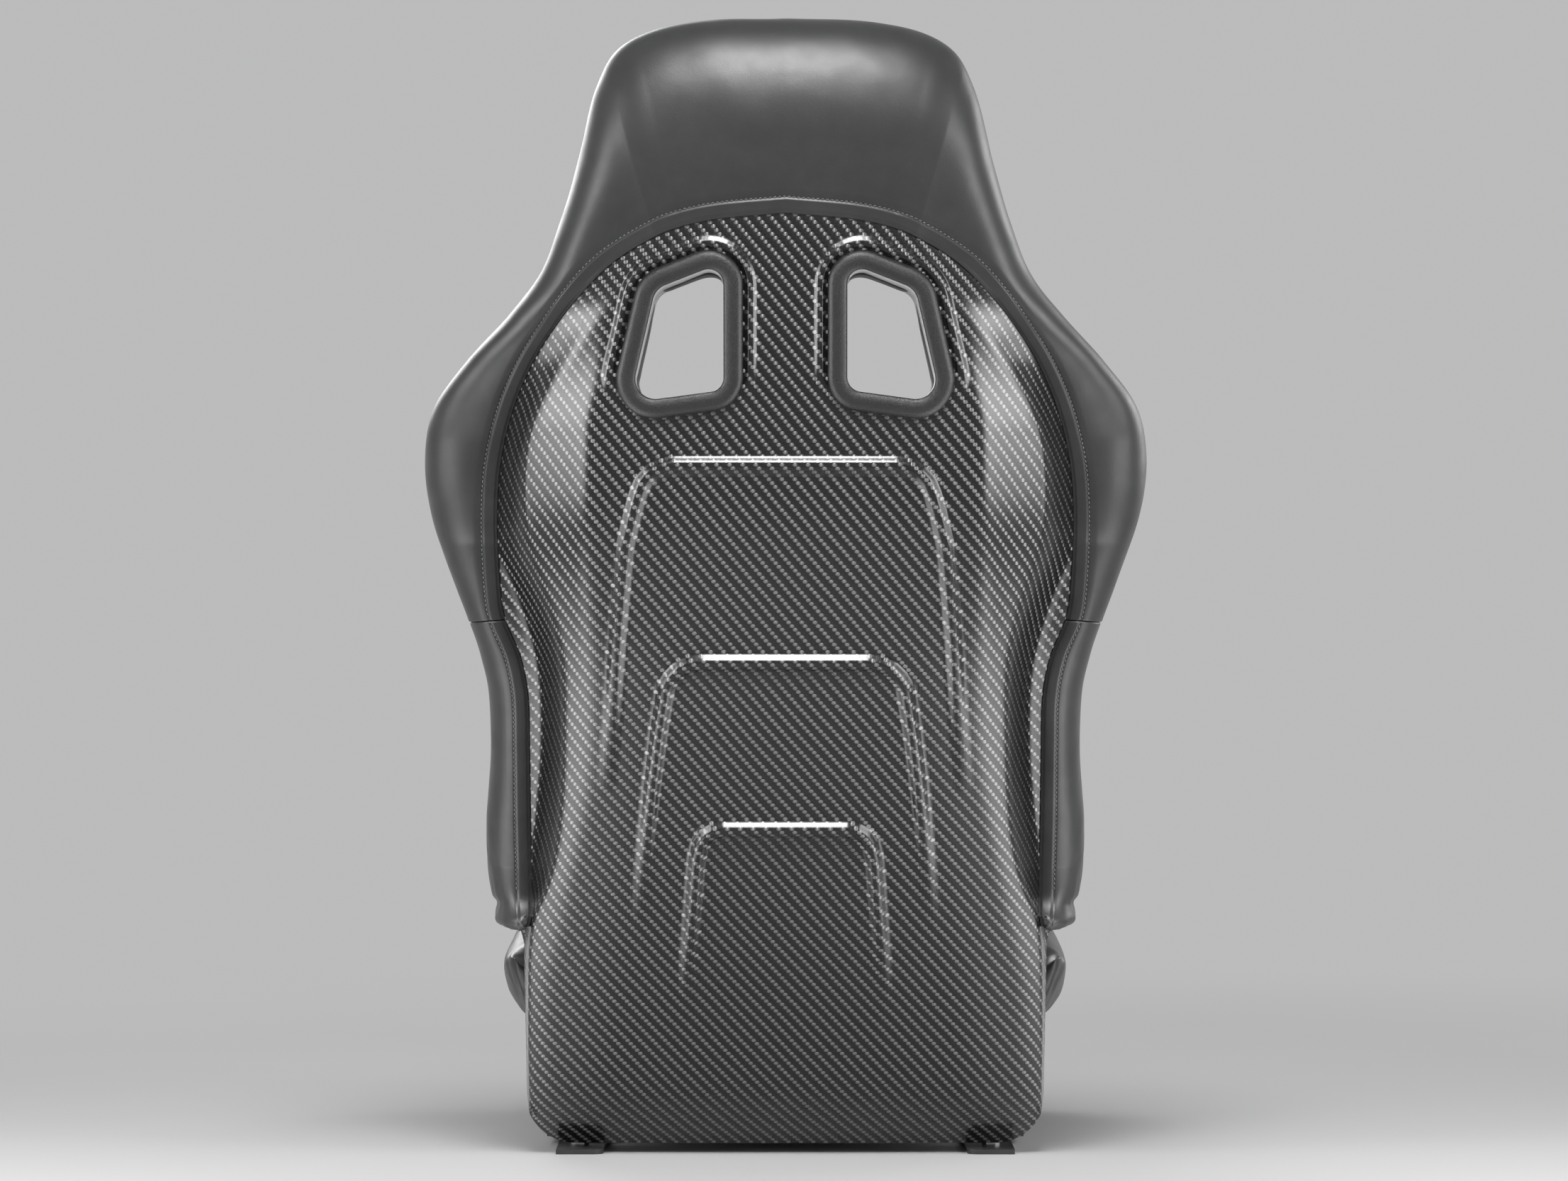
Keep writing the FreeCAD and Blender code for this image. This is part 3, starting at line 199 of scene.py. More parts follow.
def polyline_distance(x, z, line):
    """Distance of points to a polyline."""
    best = np.full(np.shape(x), np.inf)
    for (ax, az), (bx, bz) in zip(line[:-1], line[1:]):
        dx, dz = bx - ax, bz - az
        t = np.clip(((x - ax) * dx + (z - az) * dz) / math.hypot(dx, dz) ** 2, 0, 1)
        best = np.minimum(best, np.hypot(x - ax - t * dx, z - az - t * dz))
    return best


def rounded_outline(corners, radii, grow=0.0, arc_steps=10, run_step=4.0):
    """Closed outline of straight runs and arcs, moved out by an amount."""
    count = len(corners)
    pts = np.array(corners, float)
    area = sum(pts[i - 1][0] * pts[i][1] - pts[i][0] * pts[i - 1][1] for i in range(count))
    sign = 1 if area > 0 else -1
    outline = []
    arcs = []
    for i in range(count):
        before, here, after = pts[i - 1], pts[i], pts[(i + 1) % count]
        back = (before - here) / np.linalg.norm(before - here)
        on = (after - here) / np.linalg.norm(after - here)
        half = math.acos(np.clip(back @ on, -1, 1)) / 2
        middle = (back + on) / np.linalg.norm(back + on)
        centre = here + middle * radii[i] / math.sin(half)
        n0 = sign * np.array([-back[1], back[0]])
        n1 = sign * np.array([on[1], -on[0]])
        arcs.append((centre, n0, n1, radii[i]))
    for i, (centre, n0, n1, radius) in enumerate(arcs):
        for step in range(arc_steps + 1):
            t = step / arc_steps
            turn = math.acos(np.clip(n0 @ n1, -1, 1))
            normal = (n0 * math.sin((1 - t) * turn) + n1 * math.sin(t * turn)) / math.sin(turn)
            outline.append(centre + normal * (radius + grow))
        next_centre, next_n0, _, next_radius = arcs[(i + 1) % count]
        start = outline[-1]
        end = next_centre + next_n0 * (next_radius + grow)
        runs = max(1, int(np.linalg.norm(end - start) / run_step))
        for step in range(1, runs):
            outline.append(start + (end - start) * step / runs)
    return np.array(outline)


# Materials

def material(name, colour=(0.5, 0.5, 0.5), **settings):
    mat = bpy.data.materials.new(name)
    mat.use_nodes = True
    shader = mat.node_tree.nodes["Principled BSDF"]
    shader.inputs["Base Color"].default_value = (*colour, 1)
    for key, value in settings.items():
        shader.inputs[key].default_value = value
    return mat


class Graph:
    """Short hand for making shader nodes."""

    def __init__(self, mat):
        self.tree = mat.node_tree
        self.shader = self.tree.nodes["Principled BSDF"]

    def node(self, kind, **values):
        made = self.tree.nodes.new(kind)
        for key, value in values.items():
            setattr(made, key, value)
        return made

    def link(self, out, into):
        self.tree.links.new(out, into)

    def feed(self, value, socket):
        if isinstance(value, bpy.types.NodeSocket):
            self.link(value, socket)
        else:
            socket.default_value = value

    def math(self, operation, a, b=0.0, c=0.0):
        made = self.node("ShaderNodeMath", operation=operation)
        for value, socket in zip((a, b, c), made.inputs):
            self.feed(value, socket)
        return made.outputs[0]

    def vector(self, operation, a, b=(0, 0, 0)):
        made = self.node("ShaderNodeVectorMath", operation=operation)
        self.feed(a, made.inputs[0])
        self.feed(b, made.inputs[1])
        return made.outputs[0]

    def attribute(self, name):
        return self.node("ShaderNodeAttribute", attribute_name=name)

    def scaled(self, vector, scale):
        made = self.node("ShaderNodeVectorMath", operation="SCALE")
        self.link(vector, made.inputs[0])
        made.inputs["Scale"].default_value = scale
        return made.outputs[0]

    def noise(self, vector, scale, detail=2.0, rough=0.5, output="Fac"):
        made = self.node("ShaderNodeTexNoise")
        self.feed(vector, made.inputs["Vector"])
        made.inputs["Scale"].default_value = scale
        made.inputs["Detail"].default_value = detail
        made.inputs["Roughness"].default_value = rough
        return made.outputs[output]

    def ramp(self, value, stops):
        """Eased change; stops are the range of the value and the range that it becomes."""
        made = self.node("ShaderNodeMapRange", interpolation_type="SMOOTHSTEP")
        self.feed(value, made.inputs["Value"])
        for socket, stop in zip(("From Min", "From Max", "To Min", "To Max"), stops):
            made.inputs[socket].default_value = stop
        return made.outputs["Result"]

    def mix(self, factor, a, b):
        made = self.node("ShaderNodeMix", data_type="RGBA")
        self.feed(factor, made.inputs["Factor"])
        for value, socket in ((a, made.inputs["A"]), (b, made.inputs["B"])):
            self.feed((*value, 1) if isinstance(value, tuple) and len(value) == 3 else value, socket)
        return made.outputs["Result"]

    def mix_vector(self, factor, a, b):
        made = self.node("ShaderNodeMix", data_type="VECTOR")
        self.feed(factor, made.inputs["Factor"])
        self.feed(a, made.inputs["A"])
        self.feed(b, made.inputs["B"])
        return made.outputs["Result"]

    def bump(self, height, distance, strength=1.0, normal=None):
        made = self.node("ShaderNodeBump")
        made.inputs["Strength"].default_value = strength
        made.inputs["Distance"].default_value = distance
        self.link(height, made.inputs["Height"])
        if normal is not None:
            self.link(normal, made.inputs["Normal"])
        return made.outputs["Normal"]


# Carbon weave, in metres along the shell
TOW_X = 0.0026
TOW_Z = 0.0031
TOW_DRIFT = 0.0012
TOW_CROWN = 0.42
TOW_BUMP = 0.0007
COAT_BUMP = 0.00003
FIBRE_BUMP = 0.00002
ACROSS_FIBRES = 9000.0
ALONG_FIBRES = 260.0
# The weft's tones are far lighter than the warp's: a painted highlight of the overhead lamp on the weft, as
# both tows are the same black fibre
WARP_TONES = (0.003, 0.003, 0.0031), (0.009, 0.009, 0.0093)
WEFT_PAINTED_HIGHLIGHT_TONES = (0.1, 0.1004, 0.102), (0.26, 0.261, 0.265)
# near-black painted shade for the low gaps between the tows
PAINTED_SHADE_BETWEEN_TOWS = (0.003, 0.003, 0.003)


def carbon_material():
    """Clear-coated black twill: two tows over, two under, with the diagonal running down to the right."""
    mat = material("carbon_twill_coat", Metallic=0.9, Anisotropic=0.95)
    g = Graph(mat)
    shader = g.shader
    shader.inputs["Coat Weight"].default_value = 1.0
    shader.inputs["Coat Roughness"].default_value = 0.18
    shader.inputs["Coat IOR"].default_value = 1.5
    place = g.attribute("weave").outputs["Vector"]
    wander = g.noise(place, 14.0, output="Color")
    drift = g.scaled(g.vector("SUBTRACT", wander, (0.5, 0.5, 0.5)), TOW_DRIFT)
    split = g.node("ShaderNodeSeparateXYZ")
    g.link(g.vector("ADD", place, drift), split.inputs[0])
    across = g.math("DIVIDE", split.outputs["X"], TOW_X)
    up = g.math("DIVIDE", split.outputs["Y"], TOW_Z)
    column = g.math("FLOOR", across)
    row = g.math("FLOOR", up)
    side_x = g.math("SUBTRACT", g.math("FRACT", across), 0.5)
    side_z = g.math("SUBTRACT", g.math("FRACT", up), 0.5)

    def tow(run, start, side):
        """Height of a tow that goes over two and under two, with a rounded back."""
        wave = g.math("COSINE", g.math("MULTIPLY", g.math("SUBTRACT", run, start), math.pi / 2))
        crown = g.math("SUBTRACT", 1.0, g.math("MULTIPLY", g.math("MULTIPLY", side, side), 4.0))
        return g.math("MULTIPLY_ADD", crown, TOW_CROWN, wave)

    warp = tow(up, column, side_x)
    weft = tow(across, g.math("ADD", row, 3.0), side_z)
    on_top = g.math("GREATER_THAN", warp, weft)
    height = g.math("MAXIMUM", warp, weft)
    patches = g.noise(place, 900.0)
    # fibres run along their tow, so fine streaks are stretched that way
    stretch_warp = g.vector("MULTIPLY", place, (ACROSS_FIBRES, ALONG_FIBRES, 1.0))
    stretch_weft = g.vector("MULTIPLY", place, (ALONG_FIBRES, ACROSS_FIBRES, 1.0))
    streaks = g.noise(g.mix_vector(on_top, stretch_weft, stretch_warp), 1.0)
    shade = g.math("MULTIPLY_ADD", streaks, 0.5, g.math("MULTIPLY", patches, 0.35))
    streak = g.ramp(shade, (0.2, 0.7, 0.0, 1.0))
    # painted highlight: the weft gets much lighter tones than the warp
    tone = g.mix(on_top, g.mix(streak, *WEFT_PAINTED_HIGHLIGHT_TONES), g.mix(streak, *WARP_TONES))
    # painted shade: the low places between the tows are darkened towards near-black
    depth = g.ramp(height, (0.55, 1.3, 0.0, 1.0))
    g.link(g.mix(depth, PAINTED_SHADE_BETWEEN_TOWS, tone), shader.inputs["Base Color"])
    g.link(g.ramp(streaks, (0.2, 0.8, 0.43, 0.52)), shader.inputs["Roughness"])
    # each tow shines across its own fibres
    normal = g.node("ShaderNodeNewGeometry").outputs["Normal"]
    along_weft = g.vector("CROSS_PRODUCT", normal, (1, 0, 0))
    along_warp = g.vector("CROSS_PRODUCT", normal, (0, 0, 1))
    g.link(g.mix_vector(on_top, along_weft, along_warp), shader.inputs["Tangent"])
    fine = g.bump(streaks, FIBRE_BUMP, 0.35)
    g.link(g.bump(height, TOW_BUMP, 1.0, fine), shader.inputs["Normal"])
    g.link(g.bump(height, COAT_BUMP, 0.5), shader.inputs["Coat Normal"])
    return mat


def tone_pair(colour, dim, light, lift=0.0):
    """A darker and a lighter tone of a colour."""
    return tuple(c * dim for c in colour), tuple(min(1.0, c * light + lift) for c in colour)


def leather_material(name, colour, rough=0.37, grain=1500.0, depth=0.00012):
    """Smooth coated leather: pebble grain, fine pores, slow tone changes and a smoother polish where the tone
    is lighter.
    """
    mat = material(name, colour, Roughness=rough)
    g = Graph(mat)
    shader = g.shader
    shader.inputs["Specular IOR Level"].default_value = 0.4
    shader.inputs["Coat Weight"].default_value = 0.06
    shader.inputs["Coat Roughness"].default_value = 0.3
    place = g.node("ShaderNodeTexCoord").outputs["Object"]
    cells = g.node("ShaderNodeTexVoronoi", feature="SMOOTH_F1")
    shift = g.scaled(g.noise(place, 600.0, output="Color"), 0.0006)
    g.link(g.vector("ADD", place, shift), cells.inputs["Vector"])
    cells.inputs["Scale"].default_value = grain
    cells.inputs["Smoothness"].default_value = 0.4
    pores = g.noise(place, grain * 2.4, 3.0)
    slow = g.noise(place, 9.0, 3.0)
    mid = g.noise(place, 60.0, 3.0)
    tone = g.math("MULTIPLY_ADD", slow, 0.6, g.math("MULTIPLY", mid, 0.4))
    spread = g.ramp(tone, (0.3, 0.7, 0.0, 1.0))
    g.link(g.mix(spread, *tone_pair(colour, 0.78, 1.28, 0.002)), shader.inputs["Base Color"])
    g.link(g.ramp(tone, (0.3, 0.7, rough + 0.05, rough - 0.05)), shader.inputs["Roughness"])
    grainy = g.math("MULTIPLY_ADD", cells.outputs["Distance"], 0.8, g.math("MULTIPLY", pores, 0.35))
    soft = g.bump(mid, 0.0006, 0.25)
    g.link(g.bump(grainy, depth, 0.55, soft), shader.inputs["Normal"])
    return mat


def grained_plastic(name, colour, rough=0.5, grain=1800.0, depth=0.00015):
    """Moulded plastic with a fine pressed grain."""
    mat = material(name, colour, Roughness=rough)
    g = Graph(mat)
    place = g.node("ShaderNodeTexCoord").outputs["Object"]
    fine = g.noise(place, grain, 3.0, 0.6)
    slow = g.noise(place, 25.0)
    g.link(g.mix(slow, *tone_pair(colour, 0.85, 1.25)), g.shader.inputs["Base Color"])
    g.link(g.ramp(fine, (0.3, 0.7, rough - 0.06, rough + 0.08)), g.shader.inputs["Roughness"])
    g.link(g.bump(fine, depth, 0.8), g.shader.inputs["Normal"])
    return mat


def metal_material(name, colour, rough, metallic=1.0):
    """Coated or plated steel with faint orange peel and slow colour change."""
    mat = material(name, colour, Roughness=rough, Metallic=metallic)
    g = Graph(mat)
    place = g.node("ShaderNodeTexCoord").outputs["Object"]
    fine = g.noise(place, 700.0, 3.0)
    slow = g.noise(place, 30.0, 3.0)
    g.link(g.mix(slow, *tone_pair(colour, 0.8, 1.2)), g.shader.inputs["Base Color"])
    g.link(g.ramp(slow, (0.3, 0.7, rough - 0.07, rough + 0.07)), g.shader.inputs["Roughness"])
    g.link(g.bump(fine, 0.00008, 0.3), g.shader.inputs["Normal"])
    return mat


CARBON = carbon_material()
LEATHER = leather_material("bolster_leather_black", (0.0165, 0.0168, 0.0174))
INSERT = leather_material("insert_leather_black", (0.026, 0.026, 0.0278), rough=0.54, grain=1100.0,
                          depth=0.0002)
THREAD = leather_material("sewing_thread", (0.07, 0.071, 0.074), rough=0.6, grain=3000.0)
BEZEL = grained_plastic("bezel_black", (0.010, 0.010, 0.0105), rough=0.3, depth=0.0003)
LINER = grained_plastic("liner_grey", (0.5, 0.5, 0.495), rough=0.4, grain=900.0, depth=0.00006)
COVER = grained_plastic("side_cover_black", (0.024, 0.024, 0.025), rough=0.55, grain=1200.0, depth=0.0003)
STEEL = metal_material("frame_black_coat", (0.022, 0.022, 0.023), rough=0.38, metallic=0.0)
ZINC = metal_material("zinc_plate", (0.55, 0.55, 0.53), rough=0.34)
BLACK_SCREW = metal_material("black_oxide", (0.05, 0.05, 0.052), rough=0.36, metallic=0.9)


def dress(obj, mat):
    obj.data.materials.clear()
    obj.data.materials.append(mat)


def add_soft(obj, mat, body, slot, *nodes, fill=0.85):
    """Dresses a padded piece that stands for CAD nodes, joins it to its body and hides those nodes."""
    dress(obj, mat)
    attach(obj, body)
    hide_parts(*nodes)


# Carbon shell

ROW_STEP = 2.2
FINE_ROW = 0.9
BAR_ZONE = 13.0
CORNER_START = 0.12
CORNER_ROWS = 22
ARCH_BOTTOM = 742
ARCH_TOP = 786
ARCH_ROWS = 20
EDGE_SAMPLES = 400
EDGE_BLEND = (188, 214)


def tucked_edge():
    """Edge of the shell under the leather, from the torso's end up to the head."""
    t = np.linspace(HEM_END, 0, EDGE_SAMPLES)
    hem = np.array(HEM, float)
    outer = np.array(OUTER, float)
    reach = np.linalg.norm(outer - hem, axis=1, keepdims=True)
    tucked = hem + SHELL_TUCK * (outer - hem) / reach
    return along([tuple(p) for p in tucked], t)


def shell_heights():
    """Heights of the rows of the mesh, closer at the lower corners, the arch and the bars of the ribs."""
    turns = np.linspace(CORNER_START, math.pi / 2, CORNER_ROWS)
    corner = [SHELL_BOTTOM + SHELL_CORNER * (1 - math.cos(a)) for a in turns]
    sides = list(np.arange(SHELL_BOTTOM + SHELL_CORNER + 2, ARCH_BOTTOM, ROW_STEP))
    top = list(np.linspace(ARCH_BOTTOM, ARCH_TOP, ARCH_ROWS)) + [ARCH_TOP + 4, ARCH_TOP + 7]
    heights = np.array(corner + sides + top)
    for line, _ in RIB_LINES:
        bar = line[0][1]
        fine = np.arange(bar - BAR_ZONE, bar + BAR_ZONE + FINE_ROW / 2, FINE_ROW)
        heights = np.concatenate([heights[np.abs(heights - bar) > BAR_ZONE + FINE_ROW / 2], fine])
    return np.sort(heights)


def shell_half_width(z, edge):
    """Half width of the shell: round lower corners, then the tucked edge."""
    drop = np.clip(SHELL_BOTTOM + SHELL_CORNER - z, 0, SHELL_CORNER)
    low = SHELL_BOTTOM_HALF - SHELL_CORNER + np.sqrt(np.maximum(SHELL_CORNER**2 - drop**2, 0))
    high = np.interp(z, edge[:, 1], edge[:, 0])
    blend = smoothstep(*EDGE_BLEND, z)
    return low * (1 - blend) + high * blend


# Middle line of each pressed rib in the right half, and the heights where its side is full and gone
RIB_LINES = (
    ([(0, 581.6), (88, 581.6), (99, 579.5), (107, 575), (113, 568.5), (117, 559), (121, 545), (127.7, 517.5),
      (135.1, 440.2), (139.1, 383), (144.8, 325.7)], (440, 300)),
    ([(0, 424.2), (66, 424.2), (77, 422.5), (85, 418.5), (91.5, 412), (96.2, 404), (101.9, 368.7),
      (107.6, 325.7), (112.2, 282.8), (115.1, 254.2), (119.1, 205)], (330, 200)),
    ([(0, 288.5), (50, 288.5), (58, 287), (64.5, 283), (69, 276), (72, 264), (75.5, 219.8), (79, 182.6),
      (81, 130)], (232, 126)),
)
RIB_HEIGHTS = (4.3, 5.6, 6.3)
RIB_FLAT = 1.4
RIB_FOOT = 8.6
SURROUND_HEIGHT = 2.6
SURROUND_OUT = 21.5
SURROUND_FLAT = 0.8
SURROUND_FOOT = 6.0
SURROUND_FADE = (622, 672)
OPENING_MARGIN = 4.0
SHELL_COLUMNS = 391
SHELL_SAMPLES = 260
WALL_SAMPLES = 30
SHELL_SOFTENING = 4.2


def shell_relief(x, z):
    """Height of the pressed ribs and of the raised edge round the belt openings."""
    x = np.abs(x)
    relief = np.zeros(np.shape(x))
    for (line, (full, gone)), height in zip(RIB_LINES, RIB_HEIGHTS):
        away = polyline_distance(x, z, line)
        fade = smoothstep(gone, full, z)
        bar = 1 - smoothstep(RIB_FLAT, RIB_FOOT, away)
        relief = np.maximum(relief, height * bar * fade)
    outline = rounded_outline(APERTURE, APERTURE_CORNERS, SURROUND_OUT)
    loop = [tuple(p) for p in outline] + [tuple(outline[0])]
    away = polyline_distance(x, z, loop)
    ridge = 1 - smoothstep(SURROUND_FLAT, SURROUND_FOOT, away)
    return relief + SURROUND_HEIGHT * ridge * smoothstep(*SURROUND_FADE, z)


def inside_opening(x, z):
    """Whether points lie in a belt opening or its margin."""
    outline = rounded_outline(APERTURE, APERTURE_CORNERS, OPENING_MARGIN)
    ax, az = outline[:, 0], outline[:, 1]
    bx, bz = np.roll(ax, -1), np.roll(az, -1)
    x = np.abs(x)[..., None]
    z = z[..., None]
    crosses = ((az > z) != (bz > z)) & (x < (bx - ax) * (z - az) / (bz - az + 1e-12) + ax)
    return crosses.sum(-1) % 2 == 1


def shell_row(z, half):
    """Evenly spaced points across the shell at a height, with softened creases, and the way along them."""
    _, crease, wall = shell_lines(z)
    wall_part = np.clip(np.linspace(crease, wall, WALL_SAMPLES), 0, half)
    x = np.unique(np.concatenate([np.linspace(0, half, SHELL_SAMPLES), wall_part]))
    y = rear_face(x, z)
    line = np.stack([np.concatenate([-x[:0:-1], x]), np.concatenate([y[:0:-1], y])], -1)
    run = np.concatenate([[0], np.cumsum(np.hypot(*np.diff(line, axis=0).T))])
    even = np.linspace(0, run[-1], SHELL_COLUMNS)
    line = np.stack([np.interp(even, run, line[:, k]) for k in (0, 1)], -1)
    sigma = SHELL_SOFTENING / (run[-1] / (SHELL_COLUMNS - 1))
    reach = int(sigma * 3)
    weights = np.exp(-0.5 * (np.arange(-reach, reach + 1) / sigma) ** 2)
    weights /= weights.sum()
    before = 2 * line[:1] - line[reach:0:-1]
    after = 2 * line[-1:] - line[-2:-reach - 2:-1]
    padded = np.concatenate([before, line, after])
    line = np.stack([np.convolve(padded[:, k], weights, "valid") for k in (0, 1)], -1)
    return np.column_stack([line, np.full(SHELL_COLUMNS, z), even - run[-1] / 2])


def open_rims(quads, count):
    """Faces that join every open edge of the outer sheet to the inner sheet."""
    seen = {(int(a), int(b)): True for q in quads for a, b in zip(q, np.roll(q, -1))}
    return [(b, a, a + count, b + count) for a, b in seen if (b, a) not in seen]


def make_shell():
    """Outer sheet with its pressed relief, inner sheet, and rims round the edge and the openings."""
    heights = shell_heights()
    edge = tucked_edge()
    rows = np.array([shell_row(z, float(shell_half_width(z, edge))) for z in heights])
    points = rows[..., :3]
    middle = points[:, SHELL_COLUMNS // 2, 1]
    up = np.concatenate([[0], np.cumsum(np.hypot(np.diff(middle), np.diff(heights)))])
    weave = np.stack([rows[..., 3], np.broadcast_to(up[:, None], rows.shape[:2]),
                      np.zeros(rows.shape[:2])], -1) * 0.001
    normal = grid_normals(points)
    if normal[len(heights) // 2, SHELL_COLUMNS // 2, 1] < 0:
        normal = -normal
    relief = shell_relief(points[..., 0], points[..., 2])
    outer = points + normal * relief[..., None]
    inner = points - normal * SHELL_WALL
    count = outer.shape[0] * SHELL_COLUMNS
    keep = ~inside_opening(points[..., 0], points[..., 2])
    quads = grid_faces(len(heights), SHELL_COLUMNS)
    quads = quads[keep.reshape(-1)[quads].all(axis=1)]
    faces = [tuple(q) for q in quads] + [tuple(q[::-1] + count) for q in quads] + open_rims(quads, count)
    everything = np.concatenate([outer.reshape(-1, 3), inner.reshape(-1, 3)])
    used = np.unique(np.concatenate([np.array(f) for f in faces]))
    renumber = np.full(len(everything), -1)
    renumber[used] = np.arange(len(used))
    faces = [tuple(renumber[list(f)]) for f in faces]
    shell = mesh_object("carbon_shell_skin", to_frame(everything[used]), faces)
    point_vectors(shell, "weave", np.concatenate([weave.reshape(-1, 3)] * 2)[used])
    fix_normals(shell)
    return shell


def fix_normals(obj):
    """Turns all faces outward."""
    work = bmesh.new()
    work.from_mesh(obj.data)
    bmesh.ops.recalc_face_normals(work, faces=work.faces)
    work.to_mesh(obj.data)
    work.free()


shell = make_shell()
dress(shell, CARBON)
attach(shell, "backrest")
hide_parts("carbon_back_shell")


# Leather bolsters

def natural_spline(points, samples):
    """Smooth curve through points, knots by chord length; samples run from 0 to 1 along the chord."""
    points = np.asarray(points, float)
    chord = np.concatenate([[0], np.cumsum(np.linalg.norm(np.diff(points, axis=0), axis=1))])
    n = len(points)
    h = np.diff(chord)
    system = np.eye(n)
    right = np.zeros((n, points.shape[1]))
    for i in range(1, n - 1):
        system[i, i - 1:i + 2] = h[i - 1], 2 * (h[i - 1] + h[i]), h[i]
        right[i] = 6 * ((points[i + 1] - points[i]) / h[i] - (points[i] - points[i - 1]) / h[i - 1])
    second = np.linalg.solve(system, right)
    s = np.clip(np.asarray(samples), 0, 1) * chord[-1]
    i = np.clip(np.searchsorted(chord, s, side="right") - 1, 0, n - 2)
    a = ((chord[i + 1] - s) / h[i])[:, None]
    b = ((s - chord[i]) / h[i])[:, None]
    span = h[i][:, None]
    return (a * points[i] + b * points[i + 1]
            + ((a**3 - a) * second[i] + (b**3 - b) * second[i + 1]) * span**2 / 6), chord[-1]


# Leather sections, in millimetres along the leather from its hem
SECTION_FINE = 36
SECTION_ROUND = 84
FINE_SPAN = 20.0
STITCH_IN = 12.0
HEM_GROOVE = 0.45
HEM_WELT = 0.55
HEM_PUFF = 0.5
FREE_FROM = 14
FREE_END = (60, 20)
SEAM_TURN = 1.6
END_ROLL = 7.0
GATHER_AT = 9.0
GATHER_NECK = 22.0
UPPER_ROWS = 560
TORSO_ROWS = 190
# Turned edge at the hem and hidden back of the leather, as steps out from the hem and up from the shell
LIP_POINTS = [(3.0, -3.4), (0.6, -3.0), (-0.7, -2.2), (-1.0, -1.2), (-0.55, -0.35)]
BACK_POINTS = [(-5, -10), (1.0, -6.0)]
LIP = len(LIP_POINTS)
CLOSING = len(BACK_POINTS) + 2
STITCH_COLUMN = LIP + round(STITCH_IN / (FINE_SPAN / SECTION_FINE))


def soft_least(a, b, blend=6.0):
    """The lesser of two values, eased where they are nearly the same."""
    return (a + b - math.hypot(a - b, blend)) / 2


def bolster_section(t):
    """Points across the leather at a place along the hem: hem edge, round to the front seam and back."""
    hem = along(HEM, t)
    outer = along(OUTER, t)
    depth = float(track(list(enumerate(BOLSTER_DEPTH)), t))
    inner = float(track(list(enumerate(BOLSTER_INNER)), t))
    width = float(np.linalg.norm(outer - hem))
    way = (outer - hem) / width
    base = float(rear_face(*hem)) + LEATHER_STEP

    def place(u, v):
        return np.array([hem[0] + u * way[0], base + v, hem[1] + u * way[1]])

    front_seam = place(-inner, 0)
    front_seam[1] = forward_flat(front_seam[2], PAD_FRONT + PAD_CROWN + SEAM_PROUD)
    back_seam = front_seam.copy()
    back_seam[1] = forward_flat(back_seam[2], PAD_BACK + SEAM_PROUD)
    roll_in = place(-0.9 * inner, 0)
    roll_in[1] = front_seam[1] - SEAM_ROLL
    crest = place(-0.4 * inner, -0.93 * depth)
    crest[1] = soft_least(crest[1], roll_in[1] - SEAM_ROLL / 2)
    marks = [place(0, 0), place(0.4 * width, 4), place(0.82 * width, -8), place(width, -36),
             place(0.97 * width, -0.5 * depth), place(0.72 * width, -0.84 * depth),
             place(0.28 * width, -depth), crest, roll_in, front_seam]
    length = sum(np.linalg.norm(np.subtract(b, a)) for a, b in zip(marks[:-1], marks[1:]))
    fine = np.linspace(0, FINE_SPAN / length, SECTION_FINE, endpoint=False)
    samples = np.concatenate([fine, np.linspace(FINE_SPAN / length, 1, SECTION_ROUND)])
    curve, length = natural_spline(marks, samples)
    return curve, samples * length, place, back_seam


def bolster_rows(stations):
    """Grid of points: each row goes once round the leather."""
    rows, runs = [], []
    for t in stations:
        side = -1 if t < 0 else 1
        curve, run, place, back_seam = bolster_section(abs(t))
        lip = [place(*p) for p in LIP_POINTS]
        back = [place(*p) for p in BACK_POINTS]
        closing = [back_seam, (back_seam + back[0]) / 2] + back
        row = np.array(lip + list(curve) + closing)
        row[:, 0] *= side
        rows.append(row)
        runs.append(np.concatenate([[-1.0] * len(lip), run, [run[-1] + 5] * len(closing)]))
    return np.array(rows), np.array(runs)


def crumple(points, scale, amount, shift):
    """Smooth uneven offset for each point, in millimetres; scale is the size of a bump in millimetres."""
    flat = np.asarray(points).reshape(-1, 3)
    values = [noise.fractal(Vector((p[0] / scale + shift, p[1] / scale, p[2] / scale)), 1.0, 2.0, 2)
              for p in flat]
    return amount * np.array(values).reshape(np.asarray(points).shape[:-1])


def capped(rows, name):
    """Closed tube of rows, with a fan at each end."""
    count, cols = rows.shape[:2]
    points = np.concatenate([rows.reshape(-1, 3), rows[0].mean(0)[None], rows[-1].mean(0)[None]])
    faces = [tuple(q) for q in grid_faces(count, cols, around=True)]
    first, last = count * cols, count * cols + 1
    for c in range(cols):
        n = (c + 1) % cols
        faces.append((first, n, c))
        faces.append((last, (count - 1) * cols + c, (count - 1) * cols + n))
    made = mesh_object(name, to_frame(points), faces)
    fix_normals(made)
    return made


def row_normals(rows):
    """Outward normals of a closed tube of rows."""
    across = np.roll(rows, -1, axis=1) - np.roll(rows, 1, axis=1)
    down = np.gradient(rows, axis=0)
    normal = np.cross(across, down)
    normal /= np.maximum(np.linalg.norm(normal, axis=-1, keepdims=True), 1e-9)
    centre = rows.mean(axis=1, keepdims=True)
    outward = ((rows - centre) * normal).sum(-1).mean()
    return normal if outward > 0 else -normal


